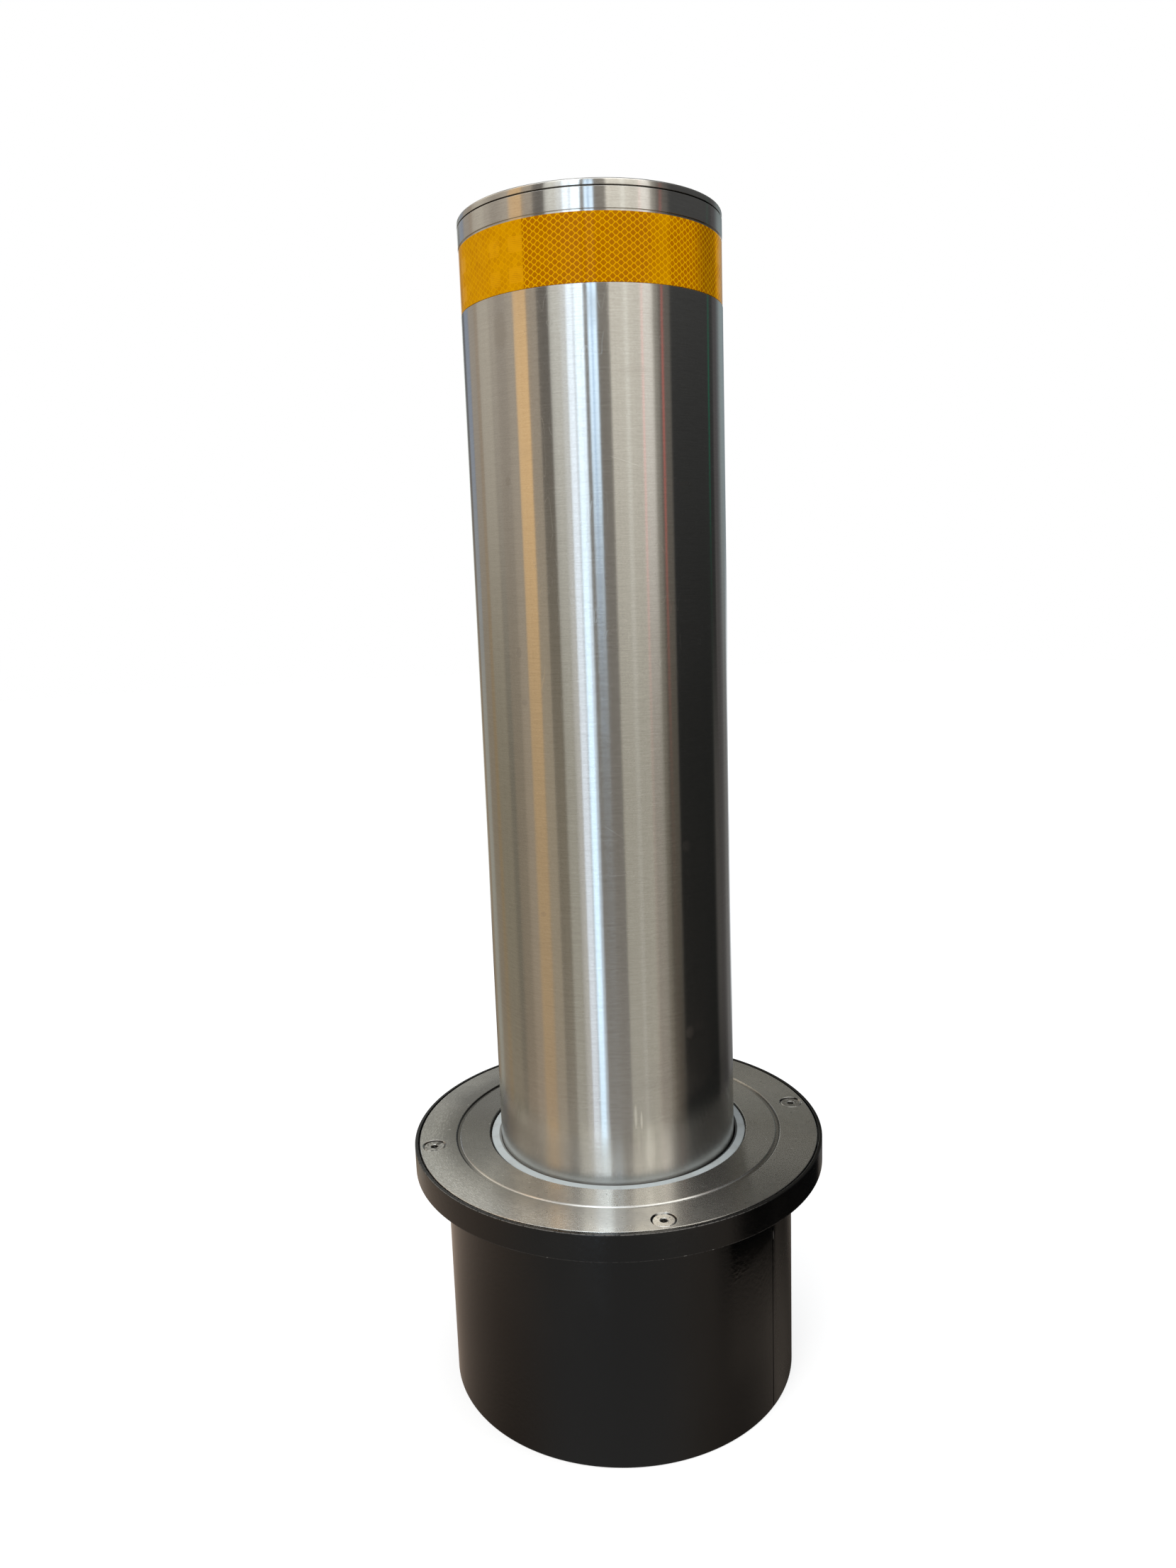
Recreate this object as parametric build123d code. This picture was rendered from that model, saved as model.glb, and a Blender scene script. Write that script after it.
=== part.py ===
from build123d import *
import math
import os

# Fixed street bollard: a stainless post on a bolted foot, in a painted foundation housing.
# Millimetres, +Z up, origin at the centre of the housing's underside.

# Post
POST_DIAMETER = 219.0
POST_WALL = 6.0
EXPOSED_HEIGHT = 800.0
POST_EDGE = 0.5
WEEP_DIAMETER = 12.0
WEEP_HEIGHT = 12.0

# Foot under the post
FOOT_REACH = 34.5
FOOT_LEDGE = 13.5
FOOT_THICKNESS = 15.0
STUD_COUNT = 4
STUD_INSET = 17.0
STUD_THREAD = 12.0
STUD_HOLE_CLEARANCE = 1.5
STUD_SPARE_THREAD = 6.0
STUD_TIP = 1.2
WASHER_DIAMETER = 24.0
WASHER_THICKNESS = 2.5
NUT_ACROSS_FLATS = 18.0
NUT_HEIGHT = 10.8
NUT_BORE_CLEARANCE = 0.2
NUT_CORNER_DROP = 1.0

# Gussets between the post and its foot
GUSSET_COUNT = 4
GUSSET_THICKNESS = 8.0
GUSSET_HEIGHT = 80.0
GUSSET_SETBACK = 4.3
GUSSET_TOP_WIDTH = 8.0
GUSSET_TOE_HEIGHT = 10.0
GUSSET_WELD_CORNER = 8.0
GUSSET_POST_GAP = 0.2

# Housing
HOUSING_DEPTH = 232.0
FOOT_TO_WALL = 12.95
WALL_THICKNESS = 5.0
FLOOR_THICKNESS = 10.0
FLOOR_TO_WALL_GAP = 0.2
DRAIN_DIAMETER = 50.0
SEAM_ANGLE = -46.5
SEAM_WIDTH = 1.2
SEAM_DEPTH = 0.7

# Collar at ground level: flange ring, cover and rim
FLANGE_THICKNESS = 12.0
FLANGE_LEDGE = 6.95
FLANGE_TO_RIM_GAP = 0.2
COVER_OVERHANG = 24.05
COVER_THICKNESS = 12.0
COVER_EDGE = 0.6
COVER_TO_RIM_GAP = 1.5
RIM_THICKNESS = 3.0
RIM_EDGE = 0.8

# Ring groove in the cover
GROOVE_INSET = 36.0
GROOVE_WIDTH = 4.8
GROOVE_DEPTH = 1.2
GROOVE_WALL_RUN = 0.7

# Seal ring and the stepped bore that it lies in
POST_TO_SEAL = 1.9
POST_TO_LIP = 6.0
POST_TO_SEAL_BORE = 11.5
SEAL_CLEARANCE = 1.5
SEAL_RECESS = 1.8
LIP_THICKNESS = 4.0
SEAL_OUTER_EDGE = 1.0
SEAL_INNER_EDGE = 0.5
SEAL_LIP_HEIGHT = 2.2
SEAL_LIP_RELIEF = 2.5

# Cover screws, countersunk with hexagon sockets
SINK_ANGLE = 90.0
TAPPED_HOLE_CLEARANCE = 0.2
SCREW_COUNT = 4
SCREW_INSET = 13.0
SCREW_THREAD = 10.0
SCREW_HEAD = 19.0
SCREW_HEAD_EDGE = 0.5
SCREW_LENGTH = 25.0
SCREW_SOCKET = 6.0
SCREW_SOCKET_DEPTH = 4.0
SCREW_SINK = 21.2
COVER_HOLE_CLEARANCE = 1.0

# Tape band and its recess, measured down from the top of the cap
TAPE_HEIGHT = 50.0
TAPE_THICKNESS = 0.5
TAPE_TOP_DROP = 23.0
TAPE_GAP_ABOVE = 1.7
TAPE_GAP_BELOW = 0.6
TAPE_RECESS_DEPTH = 0.9
TAPE_SEAT_GAP = 0.1

# Top cap and the ring that carries it
CAP_RIM = 5.0
CAP_EDGE = 1.5
CAP_SEAM = 0.9
CAP_SKIN = 5.0
SPIGOT_HEIGHT = 6.0
SPIGOT_CLEARANCE = 0.3
SPIGOT_WALL = 24.0
SEAT_RING_THICKNESS = 8.0
SEAT_RING_WIDTH = 26.0
SEAT_RING_GAP = 0.2

# Cap screws, countersunk with hexagon sockets
CAP_SCREW_COUNT = 4
CAP_SCREW_FIRST_ANGLE = 45.0
CAP_SCREW_INSET = 12.5
CAP_SCREW_THREAD = 6.0
CAP_SCREW_HEAD = 11.5
CAP_SCREW_HEAD_EDGE = 0.3
CAP_SCREW_LENGTH = 18.0
CAP_SCREW_SOCKET = 4.0
CAP_SCREW_SOCKET_DEPTH = 2.5
CAP_SCREW_SINK = 12.2
CAP_HOLE_CLEARANCE = 0.6

# Radii, from the post outwards
POST_RADIUS = POST_DIAMETER / 2
POST_INNER = POST_RADIUS - POST_WALL
RECESS_RADIUS = POST_RADIUS - TAPE_RECESS_DEPTH
CAP_SCREW_RADIUS = POST_INNER - CAP_SCREW_INSET
FOOT_RADIUS = POST_RADIUS + FOOT_REACH
STUD_RADIUS = FOOT_RADIUS - STUD_INSET
STUD_HOLE = STUD_THREAD + STUD_HOLE_CLEARANCE
WALL_INNER = FOOT_RADIUS + FOOT_TO_WALL
WALL_RADIUS = WALL_INNER + WALL_THICKNESS
COVER_RADIUS = WALL_RADIUS + COVER_OVERHANG
SCREW_RADIUS = COVER_RADIUS - SCREW_INSET
GROOVE_RADIUS = COVER_RADIUS - GROOVE_INSET
SEAL_BORE_RADIUS = POST_RADIUS + POST_TO_SEAL_BORE
LIP_RADIUS = POST_RADIUS + POST_TO_LIP
RIM_INNER = COVER_RADIUS + COVER_TO_RIM_GAP
RIM_OUTER = RIM_INNER + RIM_THICKNESS

# Levels, from the floor up
FOOT_TOP = FLOOR_THICKNESS + FOOT_THICKNESS
COVER_TOP = HOUSING_DEPTH
COVER_BOTTOM = COVER_TOP - COVER_THICKNESS
FLANGE_BOTTOM = COVER_BOTTOM - FLANGE_THICKNESS
LIP_TOP = COVER_BOTTOM + LIP_THICKNESS
CAP_TOP = COVER_TOP + EXPOSED_HEIGHT
CAP_RIM_BOTTOM = CAP_TOP - CAP_RIM
POST_TOP = CAP_RIM_BOTTOM - CAP_SEAM
SEAT_TOP = CAP_RIM_BOTTOM - SPIGOT_HEIGHT
SEAT_BOTTOM = SEAT_TOP - SEAT_RING_THICKNESS
TAPE_TOP = CAP_TOP - TAPE_TOP_DROP
TAPE_BOTTOM = TAPE_TOP - TAPE_HEIGHT

os.makedirs("parts", exist_ok=True)


def disc(radius, low, high):
    """A round plate between two levels."""
    return Pos(0, 0, low) * Cylinder(radius, high - low, align=(Align.CENTER, Align.CENTER, Align.MIN))


def ring(inner, outer, low, high):
    """A plain ring between two levels."""
    return disc(outer, low, high) - disc(inner, low, high)


def turned(*points):
    """A solid turned about Z from a closed section of radius and height."""
    section = make_face(Plane.XZ * Polyline(*points, close=True))
    return revolve(section, Axis.Z)


def circle_angles(count, first=0.0):
    """Evenly spaced angles in degrees."""
    return [first + 360.0 * i / count for i in range(count)]


def on_circle(radius, angle, height=0.0):
    """The place on a circle at one angle, turned to face outwards."""
    return Rot(0, 0, angle) * Pos(radius, 0, height)


def sink_depth(wide, narrow):
    """The depth of a countersink's cone between two of its diameters."""
    return (wide - narrow) / 2 / math.tan(math.radians(SINK_ANGLE / 2))


def countersunk_hole(mouth, hole, top, bottom):
    """The tool that cuts a countersunk hole down through a plate."""
    cone_end = top - sink_depth(mouth, hole)
    return turned((0, top), (mouth / 2, top), (hole / 2, cone_end), (hole / 2, bottom), (0, bottom))


def countersunk_screw(head, edge, thread, length, socket, socket_depth):
    """A countersunk screw with its head's face at zero and a hexagon socket."""
    cone_end = -edge - sink_depth(head, thread)
    body = turned(
        (0, 0),
        (head / 2 - edge, 0),
        (head / 2, -edge),
        (thread / 2, cone_end),
        (thread / 2, -length),
        (0, -length),
    )
    hexagon = RegularPolygon(socket / 2, 6, major_radius=False)
    return body - extrude(hexagon, -socket_depth)


def head_level(surface, mouth, head, edge):
    """The level of a screw's face when its cone seats in its countersink."""
    return surface - sink_depth(mouth, head) + edge


def housing_wall():
    """The rolled wall, with the shallow line of its butt seam."""
    wall = ring(WALL_INNER, WALL_RADIUS, 0, FLANGE_BOTTOM)
    cutter = Box(2 * SEAM_DEPTH, SEAM_WIDTH, FLANGE_BOTTOM, align=(Align.CENTER, Align.CENTER, Align.MIN))
    return wall - on_circle(WALL_RADIUS, SEAM_ANGLE) * cutter


def floor_plate():
    """The round floor welded inside the wall, with a central drain."""
    return ring(DRAIN_DIAMETER / 2, WALL_INNER - FLOOR_TO_WALL_GAP, 0, FLOOR_THICKNESS)


def flange_ring():
    """The ring on top of the wall that carries the cover, tapped for its screws."""
    inner = WALL_INNER - FLANGE_LEDGE
    body = ring(inner, RIM_INNER - FLANGE_TO_RIM_GAP, FLANGE_BOTTOM, COVER_BOTTOM)
    hole = disc((SCREW_THREAD + TAPPED_HOLE_CLEARANCE) / 2, FLANGE_BOTTOM, COVER_BOTTOM)
    for angle in circle_angles(SCREW_COUNT):
        body -= on_circle(SCREW_RADIUS, angle) * hole
    return body


def rim_band():
    """The rolled flat bar round the cover, with its outer edges broken."""
    return turned(
        (RIM_INNER, FLANGE_BOTTOM),
        (RIM_OUTER - RIM_EDGE / 2, FLANGE_BOTTOM),
        (RIM_OUTER, FLANGE_BOTTOM + RIM_EDGE / 2),
        (RIM_OUTER, COVER_TOP - RIM_EDGE),
        (RIM_OUTER - RIM_EDGE, COVER_TOP),
        (RIM_INNER, COVER_TOP),
    )


def cover_plate():
    """The turned cover: a stepped bore for the seal, a ring groove and countersunk holes."""
    outer_groove = GROOVE_RADIUS + GROOVE_WIDTH / 2
    inner_groove = GROOVE_RADIUS - GROOVE_WIDTH / 2
    groove_floor = COVER_TOP - GROOVE_DEPTH
    body = turned(
        (LIP_RADIUS, COVER_BOTTOM),
        (COVER_RADIUS, COVER_BOTTOM),
        (COVER_RADIUS, COVER_TOP - COVER_EDGE),
        (COVER_RADIUS - COVER_EDGE, COVER_TOP),
        (outer_groove, COVER_TOP),
        (outer_groove - GROOVE_WALL_RUN, groove_floor),
        (inner_groove + GROOVE_WALL_RUN, groove_floor),
        (inner_groove, COVER_TOP),
        (SEAL_BORE_RADIUS + COVER_EDGE / 2, COVER_TOP),
        (SEAL_BORE_RADIUS, COVER_TOP - COVER_EDGE / 2),
        (SEAL_BORE_RADIUS, LIP_TOP),
        (LIP_RADIUS, LIP_TOP),
    )
    cutter = countersunk_hole(SCREW_SINK, SCREW_THREAD + COVER_HOLE_CLEARANCE, COVER_TOP, COVER_BOTTOM)
    for angle in circle_angles(SCREW_COUNT):
        body -= on_circle(SCREW_RADIUS, angle) * cutter
    return body


def seal_ring():
    """The moulded ring on the bore's lip, eased on top, with a wiping lip relieved underneath."""
    outer = SEAL_BORE_RADIUS - SEAL_CLEARANCE
    inner = POST_RADIUS + POST_TO_SEAL
    top = COVER_TOP - SEAL_RECESS
    return turned(
        (inner + SEAL_LIP_RELIEF, LIP_TOP),
        (outer, LIP_TOP),
        (outer, top - SEAL_OUTER_EDGE),
        (outer - SEAL_OUTER_EDGE, top),
        (inner + SEAL_INNER_EDGE, top),
        (inner, top - SEAL_INNER_EDGE),
        (inner, top - SEAL_LIP_HEIGHT),
        (inner + SEAL_LIP_RELIEF, top - 2 * SEAL_LIP_HEIGHT),
    )


def cover_screw(angle):
    """One countersunk screw of the cover, seated in its countersink."""
    screw = countersunk_screw(
        SCREW_HEAD, SCREW_HEAD_EDGE, SCREW_THREAD, SCREW_LENGTH, SCREW_SOCKET, SCREW_SOCKET_DEPTH
    )
    return on_circle(SCREW_RADIUS, angle, head_level(COVER_TOP, SCREW_SINK, SCREW_HEAD, SCREW_HEAD_EDGE)) * screw


def post_tube():
    """The post: a tube with a shallow turned recess for the tape and weep holes at its foot."""
    body = turned(
        (POST_INNER, FOOT_TOP),
        (POST_RADIUS, FOOT_TOP),
        (POST_RADIUS, TAPE_BOTTOM - TAPE_GAP_BELOW),
        (RECESS_RADIUS, TAPE_BOTTOM - TAPE_GAP_BELOW),
        (RECESS_RADIUS, TAPE_TOP + TAPE_GAP_ABOVE),
        (POST_RADIUS, TAPE_TOP + TAPE_GAP_ABOVE),
        (POST_RADIUS, POST_TOP - POST_EDGE),
        (POST_RADIUS - POST_EDGE, POST_TOP),
        (POST_INNER, POST_TOP),
    )
    weep = Rot(0, 90, 0) * Cylinder(WEEP_DIAMETER / 2, 3 * POST_WALL)
    for angle in circle_angles(STUD_COUNT):
        body -= on_circle(POST_RADIUS, angle, FOOT_TOP + WEEP_HEIGHT) * weep
    return body


def reflective_band():
    """The adhesive tape wrapped round the recess."""
    inner = RECESS_RADIUS + TAPE_SEAT_GAP
    return ring(inner, inner + TAPE_THICKNESS, TAPE_BOTTOM, TAPE_TOP)


def cap_seat_ring():
    """The ring welded inside the top of the post, tapped for the cap's screws."""
    outer = POST_INNER - SEAT_RING_GAP
    body = ring(outer - SEAT_RING_WIDTH, outer, SEAT_BOTTOM, SEAT_TOP)
    hole = disc((CAP_SCREW_THREAD + TAPPED_HOLE_CLEARANCE) / 2, SEAT_BOTTOM, SEAT_TOP)
    for angle in circle_angles(CAP_SCREW_COUNT, CAP_SCREW_FIRST_ANGLE):
        body -= on_circle(CAP_SCREW_RADIUS, angle) * hole
    return body


def top_cap():
    """The turned cap: a rim in line with the post and a spigot that stands on the seat ring."""
    spigot = POST_INNER - SPIGOT_CLEARANCE
    body = turned(
        (0, CAP_TOP),
        (POST_RADIUS - CAP_EDGE, CAP_TOP),
        (POST_RADIUS - CAP_EDGE / 3, CAP_TOP - CAP_EDGE / 3),
        (POST_RADIUS, CAP_TOP - CAP_EDGE),
        (POST_RADIUS, CAP_RIM_BOTTOM),
        (spigot, CAP_RIM_BOTTOM),
        (spigot, SEAT_TOP),
        (spigot - SPIGOT_WALL, SEAT_TOP),
        (spigot - SPIGOT_WALL, CAP_TOP - CAP_SKIN),
        (0, CAP_TOP - CAP_SKIN),
    )
    cutter = countersunk_hole(CAP_SCREW_SINK, CAP_SCREW_THREAD + CAP_HOLE_CLEARANCE, CAP_TOP, SEAT_TOP)
    for angle in circle_angles(CAP_SCREW_COUNT, CAP_SCREW_FIRST_ANGLE):
        body -= on_circle(CAP_SCREW_RADIUS, angle) * cutter
    return body


def cap_screw(angle):
    """One countersunk screw of the cap, seated in its countersink."""
    screw = countersunk_screw(
        CAP_SCREW_HEAD,
        CAP_SCREW_HEAD_EDGE,
        CAP_SCREW_THREAD,
        CAP_SCREW_LENGTH,
        CAP_SCREW_SOCKET,
        CAP_SCREW_SOCKET_DEPTH,
    )
    level = head_level(CAP_TOP, CAP_SCREW_SINK, CAP_SCREW_HEAD, CAP_SCREW_HEAD_EDGE)
    return on_circle(CAP_SCREW_RADIUS, angle, level) * screw


def foot_flange():
    """The ring under the post, with holes for the studs."""
    body = ring(POST_INNER - FOOT_LEDGE, FOOT_RADIUS, FLOOR_THICKNESS, FOOT_TOP)
    hole = disc(STUD_HOLE / 2, FLOOR_THICKNESS, FOOT_TOP)
    for angle in circle_angles(STUD_COUNT):
        body -= on_circle(STUD_RADIUS, angle) * hole
    return body


def foot_gusset(angle):
    """One triangular web between the post and its foot, cropped at its ends and at the weld."""
    start = POST_RADIUS + GUSSET_POST_GAP
    end = FOOT_RADIUS - GUSSET_SETBACK
    outline = Polyline(
        (start + GUSSET_WELD_CORNER, FOOT_TOP),
        (end, FOOT_TOP),
        (end, FOOT_TOP + GUSSET_TOE_HEIGHT),
        (start + GUSSET_TOP_WIDTH, FOOT_TOP + GUSSET_HEIGHT),
        (start, FOOT_TOP + GUSSET_HEIGHT),
        (start, FOOT_TOP + GUSSET_WELD_CORNER),
        close=True,
    )
    web = extrude(make_face(Plane.XZ * outline), GUSSET_THICKNESS / 2, both=True)
    return Rot(0, 0, angle) * web


def foot_stud(angle):
    """One threaded stud welded on the floor plate."""
    top = FOOT_TOP + WASHER_THICKNESS + NUT_HEIGHT + STUD_SPARE_THREAD
    radius = STUD_THREAD / 2
    body = turned(
        (0, FLOOR_THICKNESS),
        (radius, FLOOR_THICKNESS),
        (radius, top - STUD_TIP),
        (radius - STUD_TIP, top),
        (0, top),
    )
    return on_circle(STUD_RADIUS, angle) * body


def foot_washer(angle):
    """One flat washer on the foot."""
    body = ring(STUD_HOLE / 2, WASHER_DIAMETER / 2, FOOT_TOP, FOOT_TOP + WASHER_THICKNESS)
    return on_circle(STUD_RADIUS, angle) * body


def foot_nut(angle):
    """One hexagon nut on its washer, with its upper corners turned down."""
    low = FOOT_TOP + WASHER_THICKNESS
    high = low + NUT_HEIGHT
    flat = NUT_ACROSS_FLATS / 2
    corner = NUT_ACROSS_FLATS / math.sqrt(3)
    hexagon = Pos(0, 0, low) * extrude(RegularPolygon(flat, 6, major_radius=False), NUT_HEIGHT)
    blank = turned((0, low), (corner, low), (corner, high - NUT_CORNER_DROP), (flat, high), (0, high))
    bore = disc((STUD_THREAD + NUT_BORE_CLEARANCE) / 2, low, high)
    return on_circle(STUD_RADIUS, angle) * ((hexagon & blank) - bore)


def numbered(name, maker, angles):
    """One node for each angle, named with its number."""
    return {f"{name}_{number}": maker(angle) for number, angle in enumerate(angles, 1)}


def all_parts():
    """Every node's name and solid."""
    stud_angles = circle_angles(STUD_COUNT)
    return {
        "post_tube": post_tube(),
        "top_cap": top_cap(),
        "cap_seat_ring": cap_seat_ring(),
        **numbered("cap_screw", cap_screw, circle_angles(CAP_SCREW_COUNT, CAP_SCREW_FIRST_ANGLE)),
        "reflective_band": reflective_band(),
        "cover_plate": cover_plate(),
        **numbered("cover_screw", cover_screw, circle_angles(SCREW_COUNT)),
        "seal_ring": seal_ring(),
        "rim_band": rim_band(),
        "flange_ring": flange_ring(),
        "housing_wall": housing_wall(),
        "floor_plate": floor_plate(),
        "foot_flange": foot_flange(),
        **numbered("foot_gusset", foot_gusset, circle_angles(GUSSET_COUNT, 180.0 / GUSSET_COUNT)),
        **numbered("foot_stud", foot_stud, stud_angles),
        **numbered("foot_washer", foot_washer, stud_angles),
        **numbered("foot_nut", foot_nut, stud_angles),
    }


for name, solid in all_parts().items():
    export_step(solid, f"parts/{name}.step")
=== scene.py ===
"""Looks of a fixed street bollard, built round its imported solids.

Sizes are in millimetres and levels are measured from the underside of the housing.
"""

from __future__ import annotations

import logging
import math
from collections.abc import Iterable, Mapping, Sequence
from dataclasses import dataclass
from enum import Enum
from typing import Any

import bmesh
import bpy
from mathutils import Matrix, Vector

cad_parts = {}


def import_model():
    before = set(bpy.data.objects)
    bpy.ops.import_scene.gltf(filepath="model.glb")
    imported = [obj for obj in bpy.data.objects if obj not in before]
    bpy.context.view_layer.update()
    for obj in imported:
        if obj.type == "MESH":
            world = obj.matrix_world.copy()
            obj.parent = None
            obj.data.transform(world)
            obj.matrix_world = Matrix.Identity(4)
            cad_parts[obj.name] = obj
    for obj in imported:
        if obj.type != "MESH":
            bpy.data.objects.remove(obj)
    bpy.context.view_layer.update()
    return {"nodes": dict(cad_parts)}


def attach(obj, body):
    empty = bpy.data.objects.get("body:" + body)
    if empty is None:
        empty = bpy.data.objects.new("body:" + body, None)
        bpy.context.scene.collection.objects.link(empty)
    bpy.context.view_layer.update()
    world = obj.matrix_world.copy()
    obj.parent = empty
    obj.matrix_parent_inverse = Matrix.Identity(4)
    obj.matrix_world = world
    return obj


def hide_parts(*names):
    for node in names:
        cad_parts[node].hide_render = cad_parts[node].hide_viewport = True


LOG = logging.getLogger("bollard")

MM = 0.001
BODY = "root"
FRONT = -101.6
TURN_STEPS = 256
SMALL_STEPS = 64
EASE_STEPS = 4
CREASE = math.radians(28.0)
WELD = 1e-7

Colour = tuple[float, float, float]
Triple = tuple[float, float, float]
Corner = tuple[float, float]
Span = tuple[float, float]


class Slot(Enum):
    """Names of material slots, which no piece in this script uses."""

    POST = "post_steel"
    COVER = "cover_steel"
    SCREW = "screw_steel"
    PAINT = "black_paint"
    SEAL = "seal_plastic"
    TAPE = "reflective_tape"


@dataclass(frozen=True)
class Mark:
    """A smudge or a scratch on an unrolled turned surface, in millimetres.

    It lies round from the front (positive to its right) and up from the underside, reaches wide
    and high from its middle, and rises by its slope. Its core is the share that is at full strength.
    """

    turn: float
    level: float
    wide: float
    high: float
    slope: float = 0.0
    core: float = 0.3


# Shader maths


class Field:
    """A number that varies over a surface, written as plain arithmetic."""

    def __init__(self, recipe: Recipe, socket: bpy.types.NodeSocket) -> None:
        """Wraps one output socket.

        Args:
            recipe: The node tree that the socket belongs to.
            socket: The output that carries the number.
        """
        self.recipe = recipe
        self.socket = socket

    def __add__(self, other: Any) -> Field:
        """Adds."""
        return self.recipe.maths("ADD", self, other)

    def __radd__(self, other: Any) -> Field:
        """Adds, from the right."""
        return self.recipe.maths("ADD", other, self)

    def __sub__(self, other: Any) -> Field:
        """Subtracts."""
        return self.recipe.maths("SUBTRACT", self, other)

    def __rsub__(self, other: Any) -> Field:
        """Subtracts, from the right."""
        return self.recipe.maths("SUBTRACT", other, self)

    def __mul__(self, other: Any) -> Field:
        """Multiplies."""
        return self.recipe.maths("MULTIPLY", self, other)

    def __rmul__(self, other: Any) -> Field:
        """Multiplies, from the right."""
        return self.recipe.maths("MULTIPLY", other, self)

    def __truediv__(self, other: Any) -> Field:
        """Divides."""
        return self.recipe.maths("DIVIDE", self, other)

    def __neg__(self) -> Field:
        """Changes the sign."""
        return self.recipe.maths("MULTIPLY", self, -1.0)

    def __abs__(self) -> Field:
        """Drops the sign."""
        return self.recipe.maths("ABSOLUTE", self)


class Recipe:
    """Adds nodes to one node tree."""

    def __init__(self, tree: bpy.types.NodeTree) -> None:
        """Starts from an empty tree.

        Args:
            tree: The tree to fill.
        """
        self.tree = tree
        self.tree.nodes.clear()

    def add(
        self,
        kind: str,
        settings: Mapping[str, Any] | None = None,
        values: Mapping[str | int, Any] | None = None,
    ) -> bpy.types.Node:
        """Adds one node.

        Args:
            kind: The node's type, without the word ShaderNode.
            settings: Attributes that are set before the sockets.
            values: Values or links by socket name or number.

        Returns:
            The node.
        """
        node = self.tree.nodes.new("ShaderNode" + kind)
        for name, value in (settings or {}).items():
            setattr(node, name, value)
        for name, value in (values or {}).items():
            self.plug(node.inputs[name], value)
        return node

    def plug(self, socket: bpy.types.NodeSocket, value: Any) -> None:
        """Links a field or socket, or sets a plain value.

        Args:
            socket: The input to fill.
            value: A field, a socket, a colour, a vector or a number.
        """
        if isinstance(value, Field):
            self.tree.links.new(value.socket, socket)
        elif isinstance(value, bpy.types.NodeSocket):
            self.tree.links.new(value, socket)
        elif isinstance(value, tuple) and socket.type == "RGBA":
            socket.default_value = (*value, 1.0)
        else:
            socket.default_value = value

    def maths(self, operation: str, *values: Any, clamp: bool = False) -> Field:
        """One Math node on numbers and fields."""
        node = self.add("Math", {"operation": operation, "use_clamp": clamp}, dict(enumerate(values)))
        return Field(self, node.outputs[0])

    def clamp(self, value: Any) -> Field:
        """Keeps a field between 0 and 1."""
        return self.maths("ADD", value, 0.0, clamp=True)

    def higher(self, one: Any, other: Any) -> Field:
        """The larger of two."""
        return self.maths("MAXIMUM", one, other)

    def lower(self, one: Any, other: Any) -> Field:
        """The smaller of two."""
        return self.maths("MINIMUM", one, other)

    def smooth(self, value: Any, low: float, high: float) -> Field:
        """A soft step.

        Args:
            value: What the step is taken on.
            low: Where it is 0, which may lie above high.
            high: Where it is 1.

        Returns:
            0 before the step, 1 after it.
        """
        node = self.add(
            "MapRange",
            {"interpolation_type": "SMOOTHSTEP"},
            {"Value": value, "From Min": low, "From Max": high, "To Min": 0.0, "To Max": 1.0},
        )
        return Field(self, node.outputs[0])

    def ramp(self, value: Any, span: Span) -> Field:
        """A soft step over a span."""
        return self.smooth(value, *span)

    def band(self, value: Field, centre: float, half: float, edge: float) -> Field:
        """1 within half a width of a centre, with soft edges."""
        return self.smooth(abs(value - centre), half + edge / 2, half - edge / 2)

    def mix(self, factor: Any, first: Any, second: Any) -> bpy.types.NodeSocket:
        """Mixes two colours."""
        node = self.add("Mix", {"data_type": "RGBA"}, {0: factor, 6: first, 7: second})
        return node.outputs[2]

    def scaled(self, colour: Any, factor: Any) -> bpy.types.NodeSocket:
        """A colour times a number."""
        node = self.add("VectorMath", {"operation": "SCALE"}, {0: colour, "Scale": factor})
        return node.outputs[0]

    def stretched(self, place: bpy.types.NodeSocket, scales: Triple) -> bpy.types.NodeSocket:
        """A place multiplied axis by axis."""
        node = self.add("VectorMath", {"operation": "MULTIPLY"}, {0: place, 1: scales})
        return node.outputs[0]

    def here(self) -> bpy.types.NodeSocket:
        """The place on the piece, in metres, in the part's own frame."""
        return self.add("TexCoord").outputs["Object"]

    def axes(self, place: bpy.types.NodeSocket) -> tuple[Field, Field, Field]:
        """The three numbers of a place."""
        node = self.add("SeparateXYZ", None, {0: place})
        return tuple(Field(self, node.outputs[i]) for i in range(3))

    def vector(self, x: Any, y: Any, z: Any) -> bpy.types.NodeSocket:
        """A place from three numbers."""
        return self.add("CombineXYZ", None, {0: x, 1: y, 2: z}).outputs[0]

    def noise(
        self, place: bpy.types.NodeSocket, scale: float, detail: float = 2.0, distortion: float = 0.0
    ) -> Field:
        """Smooth noise around 0.5."""
        values = {"Vector": place, "Scale": scale, "Detail": detail, "Distortion": distortion}
        return Field(self, self.add("TexNoise", None, values).outputs[0])

    def around(self, place: bpy.types.NodeSocket, radius: float) -> tuple[Field, Field]:
        """Unrolls a turned surface.

        Args:
            place: The place on the piece.
            radius: The radius in millimetres at which lengths are true.

        Returns:
            Millimetres round from the front, positive to its right, and millimetres up.
        """
        x, y, z = self.axes(place)
        front = math.radians(FRONT)
        side = y * math.cos(front) - x * math.sin(front)
        ahead = x * math.cos(front) + y * math.sin(front)
        return self.maths("ARCTAN2", side, ahead) * radius, z / MM

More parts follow.
